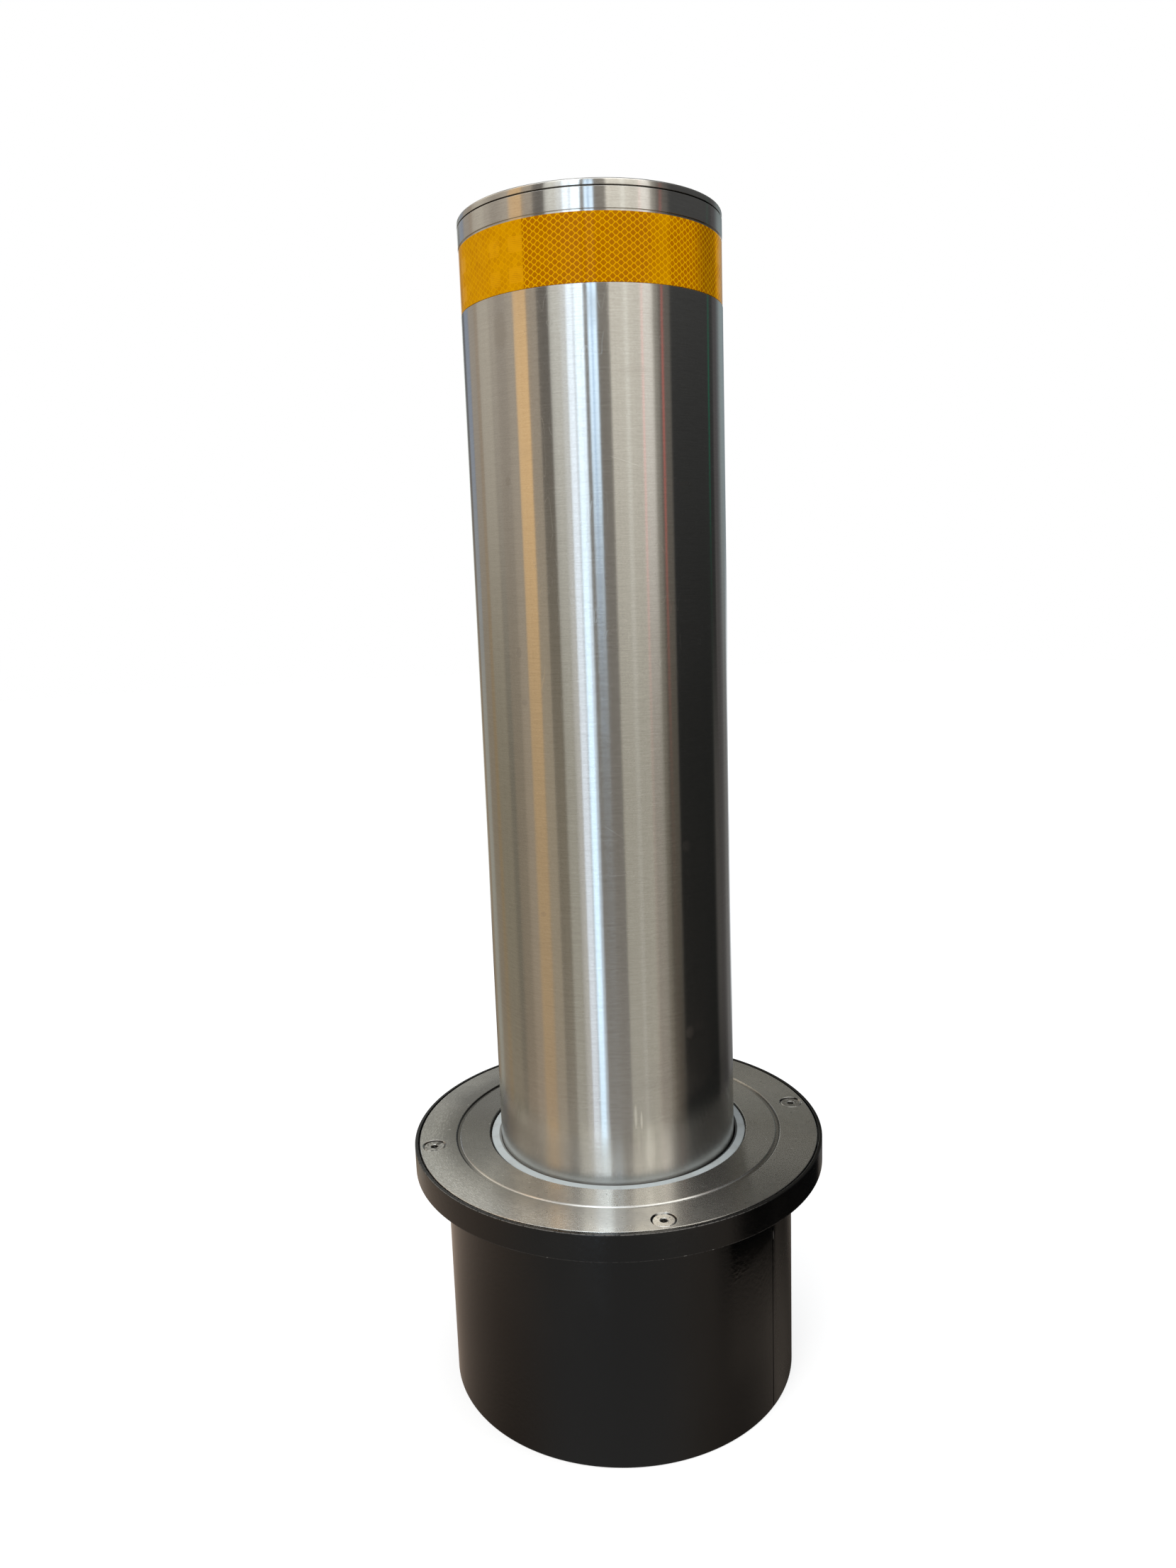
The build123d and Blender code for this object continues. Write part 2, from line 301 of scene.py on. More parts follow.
    def spots(self, turn: Field, up: Field, marks: Iterable[Mark]) -> Field:
        """1 inside a set of marks, with soft edges.

        Args:
            turn: Millimetres round from the front.
            up: Millimetres up.
            marks: The marks on that unrolled surface.

        Returns:
            The strongest mark at each place.
        """
        total = None
        for mark in marks:
            aside = turn - mark.turn
            above = up - mark.level
            if mark.slope:
                above = above - aside * mark.slope
            aside, above = aside / mark.wide, above / mark.high
            one = self.smooth(aside * aside + above * above, 1.0, mark.core)
            total = one if total is None else self.higher(total, one)
        return total

    def bump(self, height: Any, strength: float, distance: float) -> bpy.types.NodeSocket:
        """Tilts the surface's normal by a height field."""
        values = {"Height": height, "Strength": strength, "Distance": distance}
        return self.add("Bump", None, values).outputs[0]

    def surface(self, values: Mapping[str, Any]) -> None:
        """Ends the tree with one principled surface."""
        shader = self.add("BsdfPrincipled", None, values)
        self.add("OutputMaterial", None, {"Surface": shader.outputs[0]})


# Finishes


@dataclass(frozen=True)
class Finish:
    """A named material that is made once."""

    name: str

    def material(self) -> bpy.types.Material:
        """The finish as a material.

        Returns:
            The material, made at the first call and found again at later ones.
        """
        found = bpy.data.materials.get(self.name)
        if found:
            return found
        made = bpy.data.materials.new(self.name)
        made.use_nodes = True
        self.cook(Recipe(made.node_tree))
        return made

    def cook(self, recipe: Recipe) -> None:
        """Fills the material's node tree."""
        raise NotImplementedError(self.name)


@dataclass(frozen=True)
class BrushedPostSteel(Finish):
    """Stainless tube, brushed round and round, with handling marks and hairline scratches."""

    name: str = "brushed_post_steel"
    bright: Colour = (0.67, 0.655, 0.625)
    dull: Colour = (0.55, 0.53, 0.50)
    highlight_tone: Colour = (1.0, 0.98, 0.94)
    radius: float = 109.5
    foot_level: float = 232.0
    fine_grain: Triple = (90.0, 90.0, 1500.0)
    broad_grain: Triple = (16.0, 16.0, 420.0)
    weave_grain: Triple = (620.0, 620.0, 900.0)
    cloud_scale: Triple = (5.0, 5.0, 2.2)
    wave_scale: Triple = (9.0, 9.0, 26.0)
    hair_scale: Triple = (34.0, 34.0, 9.0)
    smoothness: float = 0.155
    foot_shade: Span = (5.5, 3.0)
    rough_foot: Span = (60.0, 10.0)
    foot_sector: Span = (130.0, 70.0)
    painted_highlights: tuple[Mark, ...] = (
        Mark(15.7, 291.0, 1.6, 13.0, 0.0, 0.1),
        Mark(20.6, 287.0, 1.2, 10.0, 0.0, 0.1),
        Mark(28.0, 262.0, 6.0, 30.0, 0.0, -0.6),
    )
    smudges: tuple[Mark, ...] = (
        Mark(-76.0, 942.0, 3.0, 5.0),
        Mark(-78.0, 932.0, 9.0, 18.0, 0.0, 0.0),
        Mark(-76.5, 819.0, 3.5, 4.5),
        Mark(-72.5, 684.0, 3.0, 5.0),
        Mark(-69.0, 644.0, 3.5, 3.0),
        Mark(-59.0, 467.0, 3.0, 2.5),
        Mark(31.0, 896.0, 16.0, 6.0, 0.05, -0.6),
        Mark(75.0, 812.0, 9.0, 2.5),
        Mark(69.0, 520.0, 5.0, 6.0),
        Mark(69.0, 357.0, 5.0, 7.0),
    )
    scratches: tuple[Mark, ...] = (
        Mark(24.0, 828.5, 17.0, 0.4, -0.34),
        Mark(32.5, 894.0, 15.0, 0.3, 0.05, -0.8),
        Mark(56.0, 817.0, 14.5, 0.35, -0.08),
        Mark(5.0, 538.0, 9.0, 0.3, -0.7),
        Mark(7.5, 502.0, 8.0, 0.25, 0.04),
        Mark(-17.0, 662.0, 5.0, 0.35, 0.2),
        Mark(-17.5, 627.0, 4.0, 0.35, 0.1),
        Mark(-15.5, 307.0, 4.5, 0.35, 0.1),
    )

    def cook(self, recipe: Recipe) -> None:
        """Grain runs round the tube; marks lie over it, with painted highlights and painted shade at the
        foot.

        Args:
            recipe: The material's node tree.
        """
        place = recipe.here()
        turn, up = recipe.around(place, self.radius)
        fine = recipe.noise(recipe.stretched(place, self.fine_grain), 1.0, 3.0)
        broad = recipe.noise(recipe.stretched(place, self.broad_grain), 1.0, 2.0)
        weave = recipe.noise(recipe.stretched(place, self.weave_grain), 1.0, 2.0)
        smear = recipe.smooth(recipe.noise(place, 11.0, 4.0, 0.6), 0.56, 0.70)
        cloud = recipe.noise(recipe.stretched(place, self.cloud_scale), 1.0, 3.0)
        wave = recipe.noise(recipe.stretched(place, self.wave_scale), 1.0, 2.0)
        scratch = recipe.higher(self.hairlines(recipe, place), recipe.spots(turn, up, self.scratches))
        smudge = recipe.spots(turn, up, self.smudges)
        grain = fine * 0.5 + broad * 0.15 + weave * 0.35
        tone = (grain - 0.5) * 2.3 + 0.62 - smear * 0.22 + (cloud - 0.5) * 0.4 + scratch * 0.35
        above_cover = up - self.foot_level
        # Painted shade: the tube darkens just above the cover at the front, where it meets the seal.
        foot = recipe.ramp(above_cover, self.foot_shade) * recipe.ramp(abs(turn), self.foot_sector)
        low = recipe.ramp(above_cover, self.rough_foot)
        # Painted highlights: soft pale patches low on the front of the tube.
        glow = recipe.spots(turn, up, self.painted_highlights)
        steel = recipe.mix(recipe.clamp(tone - smudge * 0.75), self.dull, self.bright)
        roughness = (grain - 0.5) * 0.06 + self.smoothness + low * 0.07
        recipe.surface(
            {
                "Base Color": recipe.scaled(recipe.mix(glow * 0.6, steel, self.highlight_tone), 1.0 - foot * 0.1),
                "Metallic": 1.0,
                "Roughness": roughness + smear * 0.03 + scratch * 0.07 + smudge * 0.08,
                "Normal": recipe.bump(wave * 8.0 + fine * 0.6 - scratch, 0.05, 0.0003),
                "Anisotropic": 1.0,
                "Anisotropic Rotation": 0.25,
            }
        )

    def hairlines(self, recipe: Recipe, place: bpy.types.NodeSocket) -> Field:
        """Faint wandering scratches, in patches.

        Args:
            recipe: The material's node tree.
            place: The place on the piece.

        Returns:
            The scratches' strength.
        """
        hairs = recipe.noise(recipe.stretched(place, self.hair_scale), 1.0, 1.0, 1.5)
        hair = recipe.smooth(abs(hairs - 0.5), 0.0022, 0.0006)
        patch = recipe.smooth(recipe.noise(place, 7.0, 1.0), 0.55, 0.62)
        return hair * patch * 0.6


@dataclass(frozen=True)
class TurnedCoverSteel(Finish):
    """Stainless plate, faced on a lathe, with fine grit, soft stains and a few specks.

    Its sectors are in degrees round from the front, positive to its right.
    """

    name: str = "turned_cover_steel"
    bright: Colour = (0.92, 0.90, 0.86)
    plain: Colour = (0.63, 0.605, 0.555)
    dull: Colour = (0.36, 0.345, 0.32)
    grime_and_shade: Colour = (0.035, 0.032, 0.03)
    glint: Colour = (0.98, 0.97, 0.94)
    face: float = 232.0
    groove: float = 150.0
    groove_wall: float = 147.95
    glint_sector: Span = (62.0, 36.0)
    groove_depths: Span = (-0.15, -0.6)
    sink_depths: Span = (-0.10, -0.35)
    highlight_reach: Span = (150.0, 184.0)
    shade_reach: Span = (178.0, 156.0)
    screw_circle: float = 173.0
    screw_radius: float = 9.5

    def cook(self, recipe: Recipe) -> None:
        """Rings run round the axis with grit, stains and specks over them, plus painted highlights and shade.

        Args:
            recipe: The material's node tree.
        """
        place = recipe.here()
        turn, up = recipe.around(place, math.degrees(1.0))
        x, y, z = recipe.axes(place)
        reach = recipe.maths("SQRT", x * x + y * y) / MM
        rings = recipe.noise(recipe.vector(reach * 1.7, turn * 0.03, z * 40.0), 1.0, 3.0)
        grain = recipe.noise(recipe.vector(reach * 1.5, turn * 0.7, z * 40.0), 1.0, 3.0)
        grit = recipe.noise(place, 820.0, 3.0)
        patchy = recipe.noise(place, 150.0, 4.0, 0.4)
        smear = recipe.smooth(recipe.noise(place, 16.0, 4.0, 0.5), 0.52, 0.72)
        stained = recipe.smooth(recipe.noise(place, 9.0, 3.0), 0.42, 0.62)
        tone = (rings - 0.5) * 0.4 + (grit - 0.5) * 0.25 + (grain - 0.5) * 0.6 + (patchy - 0.5) * 0.45
        tone = tone - smear * 0.2 - stained * 0.15
        lifted = self.faced(recipe, place, turn, reach, tone, grain * 0.6 + grit * 0.4)
        low = recipe.ramp(up - self.face, self.groove_depths)
        # Painted highlight on the groove's inner wall at the front.
        wall = recipe.band(reach, self.groove_wall, 0.5, 0.3) * low * recipe.ramp(turn, self.glint_sector)
        # Painted shade in the groove.
        lifted = recipe.mix(self.groove_shade(recipe, turn, reach, low), lifted, self.grime_and_shade)
        lifted = recipe.mix(wall, lifted, self.glint)
        # Painted shade in the countersinks.
        lifted = recipe.mix(self.sink_shade(recipe, x / MM, y / MM, up), lifted, self.grime_and_shade)
        recipe.surface(
            {
                "Base Color": lifted,
                "Metallic": 1.0,
                "Roughness": (grit - 0.5) * 0.06 + 0.27 + smear * 0.05 + wall * 0.08,
                "Normal": recipe.bump(grit * 0.12 + grain * 0.4 + rings * 0.35, 0.05, 0.0003),
                "Anisotropic": 1.0,
                "Anisotropic Rotation": 0.25,
            }
        )

    def faced(
        self,
        recipe: Recipe,
        place: bpy.types.NodeSocket,
        turn: Field,
        reach: Field,
        tone: Field,
        sharp: Field,
    ) -> bpy.types.NodeSocket:
        """The faced steel's colour, with a painted highlight outer front-left and painted shade inner left.

        Args:
            recipe: The material's node tree.
            place: The place on the piece.
            turn: Degrees round from the front.
            reach: Millimetres from the axis.
            tone: The grain's and stains' tone, around 0.
            sharp: Fine grain that sparkles within the painted highlight.

        Returns:
            The colour.
        """
        specks = recipe.smooth(recipe.noise(place, 420.0, 0.0), 0.79, 0.83)
        flecks = recipe.smooth(recipe.noise(place, 300.0, 0.0), 0.17, 0.14)
        # Painted highlight: the outer front-left of the plate is paler, with sparkling grain.
        wear_and_highlight = recipe.band(turn, -66.0, 50.0, 50.0) * recipe.ramp(reach, self.highlight_reach)
        # Painted shade: the inner left of the plate, by the post, is darker.
        inner = recipe.band(turn, -96.0, 38.0, 40.0) * recipe.ramp(reach, self.shade_reach)
        base = recipe.mix(recipe.clamp(tone + 0.85 - specks * 0.9 - inner * 0.8), self.dull, self.plain)
        sparkle = wear_and_highlight * recipe.smooth(sharp, 0.48, 0.60)
        return recipe.mix(recipe.clamp(wear_and_highlight * 0.42 + sparkle * 0.9 + flecks * 0.6), base, self.bright)

    def groove_shade(self, recipe: Recipe, turn: Field, reach: Field, low: Field) -> Field:
        """Painted shade along the groove's outer foot and on its floor, darker at the sides.

        Args:
            recipe: The material's node tree.
            turn: Degrees round from the front.
            reach: Millimetres from the axis.
            low: 1 below the plate's face.

        Returns:
            The painted shade's strength.
        """
        line = recipe.band(reach, self.groove + 1.5, 0.8, 0.5) * low
        floor = recipe.band(reach, self.groove - 0.2, 1.6, 0.5) * low * 0.45
        sides = recipe.band(turn, -110.0, 50.0, 10.0) * 0.75 + recipe.band(turn, 82.0, 34.0, 20.0) * 0.6
        return recipe.higher(line, floor) * (sides + recipe.band(turn, 9.0, 5.0, 4.0) * 0.6 + 0.2)

    def sink_shade(self, recipe: Recipe, x: Field, y: Field, up: Field) -> Field:
        """Painted shade in the countersinks beside the screws' heads, darkest at their sides.

        Args:
            recipe: The material's node tree.
            x: Millimetres along the first axis.
            y: Millimetres along the second axis.
            up: Millimetres up.

        Returns:
            The painted shade's strength.
        """
        ahead = recipe.higher(abs(x), abs(y)) - self.screw_circle
        aside = recipe.lower(abs(x), abs(y))
        off = recipe.maths("SQRT", ahead * ahead + aside * aside)
        beside = recipe.smooth(aside / off, 0.30, 0.62)
        low = recipe.ramp(up - self.face, self.sink_depths)
        near = recipe.smooth(off - self.screw_radius, 4.0, 3.0)
        return near * low * (beside * 0.7 + 0.3)


@dataclass(frozen=True)
class ScrewSteel(Finish):
    """Stainless screw heads with grit, painted shade and painted glints in the sockets."""

    name: str = "cover_screw_steel"
    face: float = 231.4
    dirt: float = 0.0
    bright: Colour = (0.84, 0.82, 0.77)
    dull: Colour = (0.60, 0.58, 0.54)
    grime_and_shade: Colour = (0.05, 0.045, 0.04)

    def cook(self, recipe: Recipe) -> None:
        """A satin face; the socket and the cone below it are speckled, with painted shade and painted glints.

        Args:
            recipe: The material's node tree.
        """
        place = recipe.here()
        z = recipe.axes(place)[2] / MM
        grit = recipe.noise(place, 700.0, 3.0)
        cloud = recipe.noise(place, 190.0, 3.0)
        specks = recipe.smooth(recipe.noise(place, 520.0, 1.0), 0.66, 0.73)
        # Painted shade deepens into the socket and down the cone, with painted glints; specks and patches are
        # grit.
        socket_shade = recipe.smooth(z, self.face - 0.25, self.face - 1.2)
        glint = recipe.smooth(recipe.noise(place, 640.0, 1.0), 0.60, 0.66) * socket_shade
        patches = recipe.smooth(recipe.noise(place, 150.0, 2.0, 1.2), 0.36, 0.60) * self.dirt
        soiled = recipe.clamp(specks * 0.7 + socket_shade * 0.9 - glint + patches)
        face = recipe.mix(recipe.clamp((cloud - 0.3) * 1.6 + (grit - 0.5)), self.dull, self.bright)
        recipe.surface(
            {
                "Base Color": recipe.mix(soiled, face, self.grime_and_shade),
                "Metallic": recipe.clamp(1.0 - specks * 0.6 - socket_shade * 0.3 + glint * 0.3),
                "Roughness": recipe.clamp((grit - 0.5) * 0.2 + 0.27 + specks * 0.3 + socket_shade * 0.1),
                "Normal": recipe.bump(grit - specks + glint * 2.0, 0.15, 0.0002),
            }
        )


@dataclass(frozen=True)
class BlackPaint(Finish):
    """Satin black coating with a slight orange peel, glossier by the seam, chipped and with painted edge
    highlights.

    Places round it are in millimetres from the front, positive to its right.
    """

    name: str = "satin_black_coating"
    coat: Colour = (0.0011, 0.0011, 0.0011)
    dusty: Colour = (0.0055, 0.0050, 0.0046)
    brown_tone: Colour = (0.034, 0.028, 0.022)
    sheen_streak_tone: Colour = (0.032, 0.027, 0.022)
    # Colour of the chips, used too for the painted edge highlights and the seam glint.
    bare: Colour = (0.14, 0.13, 0.12)
    radius: float = 161.95
    wall_top: float = 208.0
    chip_level: float = 208.5
    edge_level: float = 231.75
    seam: float = 155.5
    border_level: float = 145.0
    border_soft: float = 6.0
    border_run: Span = (96.0, 150.0)
    border_climb: float = 19.0
    gloss_start: Span = (94.0, 102.0)
    strip_end: Span = (166.0, 163.0)
    strip_low: Span = (168.0, 170.0)
    chips_and_seam_glint: tuple[Mark, ...] = (
        Mark(-51.5, 208.5, 0.7, 0.4),
        Mark(28.0, 208.5, 0.5, 0.3),
        Mark(43.5, 208.5, 1.6, 0.35),
        Mark(64.0, 208.5, 0.9, 0.4),
        # A painted glint at the top of the seam; the marks above it are chips.
        Mark(157.3, 168.0, 0.5, 5.0),
    )

    def cook(self, recipe: Recipe) -> None:
        """Peel and dust all over, gloss by the seam with painted streaks, chips and painted edge highlights.

        Args:
            recipe: The material's node tree.
        """
        place = recipe.here()
        turn, up = recipe.around(place, self.radius)
        peel = recipe.noise(place, 260.0, 2.0)
        grain = recipe.noise(place, 1100.0, 2.0)
        dust = recipe.smooth(recipe.noise(recipe.stretched(place, (9.0, 9.0, 5.0)), 1.0, 5.0), 0.45, 0.75)
        glossy = self.glossy(recipe, turn, up, peel)
        # Painted reflection: light wavy streaks near the glossy coat's border.
        border_sheen = self.border_sheen(recipe, turn, up) * glossy
        chip_and_glint = self.wear_and_highlight(recipe, place, turn, up)
        below = recipe.smooth(up, self.wall_top + 0.5, self.wall_top - 0.5)
        # Browner to the right of the seam below the collar, and in a patch beneath the glossy coat.
        brown_tint = recipe.smooth(turn, self.seam + 1.0, self.seam + 9.0) * below
        tone = recipe.clamp((dust * 0.55 + (grain - 0.5) * 0.5) * (1.0 - glossy))
        haze = recipe.band(turn, 126.0, 30.0, 24.0) * recipe.band(up, 112.0, 50.0, 50.0) * 0.2
        paint = recipe.mix(tone, self.coat, self.dusty)
        paint = recipe.mix(recipe.clamp(brown_tint * 0.6 + haze), paint, self.brown_tone)
        satin = (dust * 0.09 + (grain - 0.5) * 0.08) * (1.0 - glossy)
        recipe.surface(
            {
                "Base Color": recipe.mix(chip_and_glint, recipe.mix(border_sheen, paint, self.sheen_streak_tone), self.bare),
                "Roughness": recipe.clamp(0.13 + satin - glossy * 0.06 + chip_and_glint * 0.3 + brown_tint * 0.1),
                "Normal": recipe.bump(peel + grain * 0.12 * (1.0 - glossy) - chip_and_glint * 0.5, 0.22, 0.0003),
                "IOR": 1.5,
            }
        )

    def climb(self, recipe: Recipe, turn: Field) -> Field:
        """How far the glossy coat's border has climbed towards the seam, in millimetres."""
        return recipe.ramp(turn, self.border_run) * self.border_climb

    def border_sheen(self, recipe: Recipe, turn: Field, up: Field) -> Field:
        """Painted reflection: light wavy streaks in the glossy coat near its border.

        Args:
            recipe: The material's node tree.
            turn: Millimetres round from the front.
            up: Millimetres up.

        Returns:
            The painted streaks' strength.
        """
        close = recipe.smooth(up - self.climb(recipe, turn), 168.0, 148.0)
        streaks = recipe.noise(recipe.vector(turn * 0.10, up * 0.8, 0.0), 1.0, 1.0, 0.3)
        return recipe.smooth(streaks, 0.50, 0.66) * close * recipe.smooth(turn, 140.0, 110.0) * 0.35

    def glossy(self, recipe: Recipe, turn: Field, up: Field, peel: Field) -> Field:
        """The smooth coat under the collar beside the seam, which ends in a waved border.

        Args:
            recipe: The material's node tree.
            turn: Millimetres round from the front.
            up: Millimetres up.
            peel: The orange peel, which waves the border.

        Returns:
            1 on the smooth coat.
        """
        waved = up + (peel - 0.5) * 7.0 - self.climb(recipe, turn)
        border = recipe.smooth(waved, self.border_level, self.border_level + self.border_soft)
        first = recipe.ramp(turn, self.gloss_start) * recipe.smooth(turn, self.seam - 2.0, self.seam - 3.4)
        second = recipe.smooth(turn, self.seam + 1.0, self.seam + 2.0) * recipe.ramp(turn, self.strip_end)
        below = recipe.smooth(up, self.wall_top + 0.2, self.wall_top - 0.3)
        return recipe.higher(first * border, second * recipe.ramp(up, self.strip_low)) * below

    def wear_and_highlight(self, recipe: Recipe, place: bpy.types.NodeSocket, turn: Field, up: Field) -> Field:
        """Chips and knocked edges, with painted highlights along the collar's edges and at the seam.

        Args:
            recipe: The material's node tree.
            place: The place on the piece.
            turn: Millimetres round from the front.
            up: Millimetres up.

        Returns:
            1 on the chips and on the painted highlights.
        """
        # Chips along the collar's lower edge, with a thin broken painted highlight line there.
        lower = recipe.band(up, self.chip_level, 0.3, 0.3)
        # A painted highlight along the collar's outer top edge.
        upper = recipe.band(up, self.edge_level, 0.2, 0.2) * recipe.band(turn, -60.0, 150.0, 80.0)
        broken = recipe.smooth(recipe.noise(place, 480.0, 3.0), 0.30, 0.58)
        rare = recipe.smooth(recipe.noise(place, 95.0, 3.0), 0.66, 0.70)
        edges = recipe.higher(lower * (rare * 0.5 + broken * 0.16), upper * broken)
        return recipe.higher(edges, recipe.spots(turn, up, self.chips_and_seam_glint))


@dataclass(frozen=True)
class SealPlastic(Finish):
    """Off-white plastic, faintly soiled, with painted shade on its right side and on its sunken skirt."""

    name: str = "white_seal_plastic"
    clean: Colour = (0.70, 0.77, 0.79)
    soiled: Colour = (0.52, 0.54, 0.53)
    skirt_shade: Colour = (0.26, 0.26, 0.25)
    ledge_level: float = 229.5

    def cook(self, recipe: Recipe) -> None:
        """A soft satin skin with light soiling, and painted shade on the right and on the sunken skirt.

        Args:
            recipe: The material's node tree.
        """
        place = recipe.here()
        soil = recipe.smooth(recipe.noise(place, 60.0, 4.0), 0.50, 0.78)
        fine = recipe.noise(place, 900.0, 2.0)
        turn, up = recipe.around(place, math.degrees(1.0))
        # Painted shade: the ring darkens towards its right side.
        side_shade = recipe.smooth(turn, -70.0, 0.0) * 0.12 + recipe.smooth(turn, 10.0, 95.0) * 0.32
        tone = recipe.mix(recipe.clamp(soil * 0.7 + (fine - 0.5) * 0.2), self.clean, self.soiled)
        # Painted shade on the sunken skirt, deepest on the right where the post shades it.
        low = recipe.smooth(up, self.ledge_level + 0.3, self.ledge_level - 0.2)
        skirt_shade = recipe.scaled(self.skirt_shade, 1.0 - recipe.smooth(turn, 10.0, 60.0) * 0.92)
        tone = recipe.mix(low, tone, skirt_shade)
        recipe.surface(
            {
                "Base Color": recipe.scaled(tone, 1.0 - side_shade),
                "Roughness": recipe.clamp(0.42 + soil * 0.15),
                "Normal": recipe.bump(fine, 0.08, 0.0002),
            }
        )


@dataclass(frozen=True)
class ReflectiveTape(Finish):
    """Amber sheeting with a net of sealed six-sided cells under a clear gloss.

    Places round it are in millimetres from the front, positive to its right. A column of blocks has
    a middle and a half width.
    """

    name: str = "amber_cell_sheeting"
    cell: Colour = (0.44, 0.145, 0.0)
    pale: Colour = (0.74, 0.335, 0.0)
    net: Colour = (0.78, 0.39, 0.0)
    radius: float = 109.2
    cell_width: float = 6.66
    cell_height: float = 4.745
    net_low: float = 958.3
    line: float = 0.66
    bar: float = 0.65
    corner: float = 0.15
    lap: float = -52.9
    lap_soft: float = 0.35
    right_tile: Span = (30.0, 64.0)
    right_tile_end: Span = (64.4, 63.6)
    far_reflection_span: Span = (96.0, 140.0)
    shade_rise: Span = (84.0, 108.0)
    shade_fall: Span = (128.0, 122.0)
    gloss_middle: float = -2.0
    gloss_reach: Span = (128.0, 148.0)
    block_low: float = 959.0
    block_height: float = 22.0
    block_columns: tuple[tuple[float, float], ...] = ((-59.5, 6.6), (97.0, 2.4), (134.0, 6.0), (-132.0, 7.0))
    faint_column: tuple[float, float] = (-81.0, 5.5)
    rib: float = 1.35
    rib_slope: float = 0.08

    def cook(self, recipe: Recipe) -> None:
        """A net bounds the cells; tiles and blocks of prisms differ in tone; a painted reflection lights the
        far right.

        Args:
            recipe: The material's node tree.
        """
        place = recipe.here()
        turn, up = recipe.around(place, self.radius)
        net, own = self.cells(recipe, turn, up)
        left = recipe.smooth(turn, self.lap + self.lap_soft, self.lap - self.lap_soft)
        right = recipe.ramp(turn, self.right_tile) * recipe.ramp(turn, self.right_tile_end) * 0.45
        # Painted reflection: the far right of the band is lighter.
        far = recipe.ramp(turn, self.far_reflection_span) * 0.5
        shade = recipe.ramp(turn, self.shade_rise) * recipe.ramp(turn, self.shade_fall)
        ends = recipe.ramp(abs(turn - self.gloss_middle), self.gloss_reach)
        block = self.blocks(recipe, turn, up)
        ribs = recipe.maths("SINE", (up + turn * self.rib_slope) * (2.0 * math.pi / self.rib))
        cloud = recipe.noise(recipe.stretched(place, (30.0, 30.0, 45.0)), 1.0, 3.0)
        grit = recipe.noise(place, 600.0, 2.0)
        light = left * 0.62 + right + far + (own - 0.5) * 0.28 + (cloud - 0.5) * 0.7 + (grit - 0.5) * 0.3
        light = recipe.clamp(light + block * (ribs * 0.18 + 0.34) + ribs * 0.03)
        line = net * recipe.clamp(1.0 - left * 0.45 - block * 0.5)
        amber = recipe.mix(line, recipe.mix(light, self.cell, self.pale), self.net)
        recipe.surface(
            {
                "Base Color": recipe.scaled(amber, 1.0 - shade * 0.35),
                "Roughness": recipe.clamp(0.45 + own * 0.1),
                "Specular IOR Level": 0.0,
                "Coat Weight": recipe.clamp(0.07 + block * 0.12 + ends * 0.7),
                "Coat Roughness": 0.05,
                "Normal": recipe.bump(net, 0.1, 0.0002),
            }
        )

    def cells(self, recipe: Recipe, turn: Field, up: Field) -> tuple[Field, Field]:
        """The six-sided cells: four slanted sides, and a short bar above and below.

        Every second column stands half a cell higher. All distances are measured from the nearest
        middle of an even column, so that one slanted side and one bar stand for all of them.

        Args:
            recipe: The material's node tree.
            turn: Millimetres round from the front.
            up: Millimetres up.

        Returns:
            1 on the net's lines, and each cell's own number from 0 to 1.
        """
        across = turn / self.cell_width
        along = (up - self.net_low) / self.cell_height
        half_width, half_height = self.cell_width / 2.0, self.cell_height / 2.0
        aside = abs(recipe.maths("FRACT", across + 0.5) - 0.5) * self.cell_width
        above = abs(recipe.maths("FRACT", along) - 0.5) * self.cell_height
        run = half_width - 2.0 * self.bar
        length = math.hypot(run, half_height)
        beyond = (aside - half_width / 2.0) * (half_height / length)
        beyond = beyond + (above - half_height / 2.0) * (run / length)
        odd = recipe.smooth(beyond, -0.01, 0.01)
        slant = abs(beyond)
        level = (1.0 - odd) * (half_height - above) + odd * above
        edge = recipe.lower(slant, level)
        rounding = recipe.smooth(recipe.higher(slant, level) - edge, 0.8, 0.0) * self.corner
        net = recipe.smooth(edge - rounding, self.line * 0.75, self.line * 0.25)
        column = recipe.maths("FLOOR", across + (1.0 - odd) * 0.5) + odd * 0.5
        row = recipe.maths("FLOOR", along + odd * 0.5) - odd * 0.5
        cell = recipe.vector(column, row, 0.0)
        own = recipe.add("TexWhiteNoise", {"noise_dimensions": "3D"}, {"Vector": cell})
        return net, Field(recipe, own.outputs[0])

    def blocks(self, recipe: Recipe, turn: Field, up: Field) -> Field:
        """Small upright blocks of finer prisms, one above another beside the tiles' edges.

        Args:
            recipe: The material's node tree.
            turn: Millimetres round from the front.
            up: Millimetres up.

        Returns:
            1 on a block.
        """
        phase = abs(recipe.maths("FRACT", (up - self.block_low) / self.block_height) - 0.5)
        beside = recipe.band(turn, *self.faint_column, 0.5) * 0.7
        for middle, half in self.block_columns:
            beside = beside + recipe.band(turn, middle, half, 0.5)
        return recipe.clamp(beside) * recipe.smooth(phase, 0.27, 0.25)


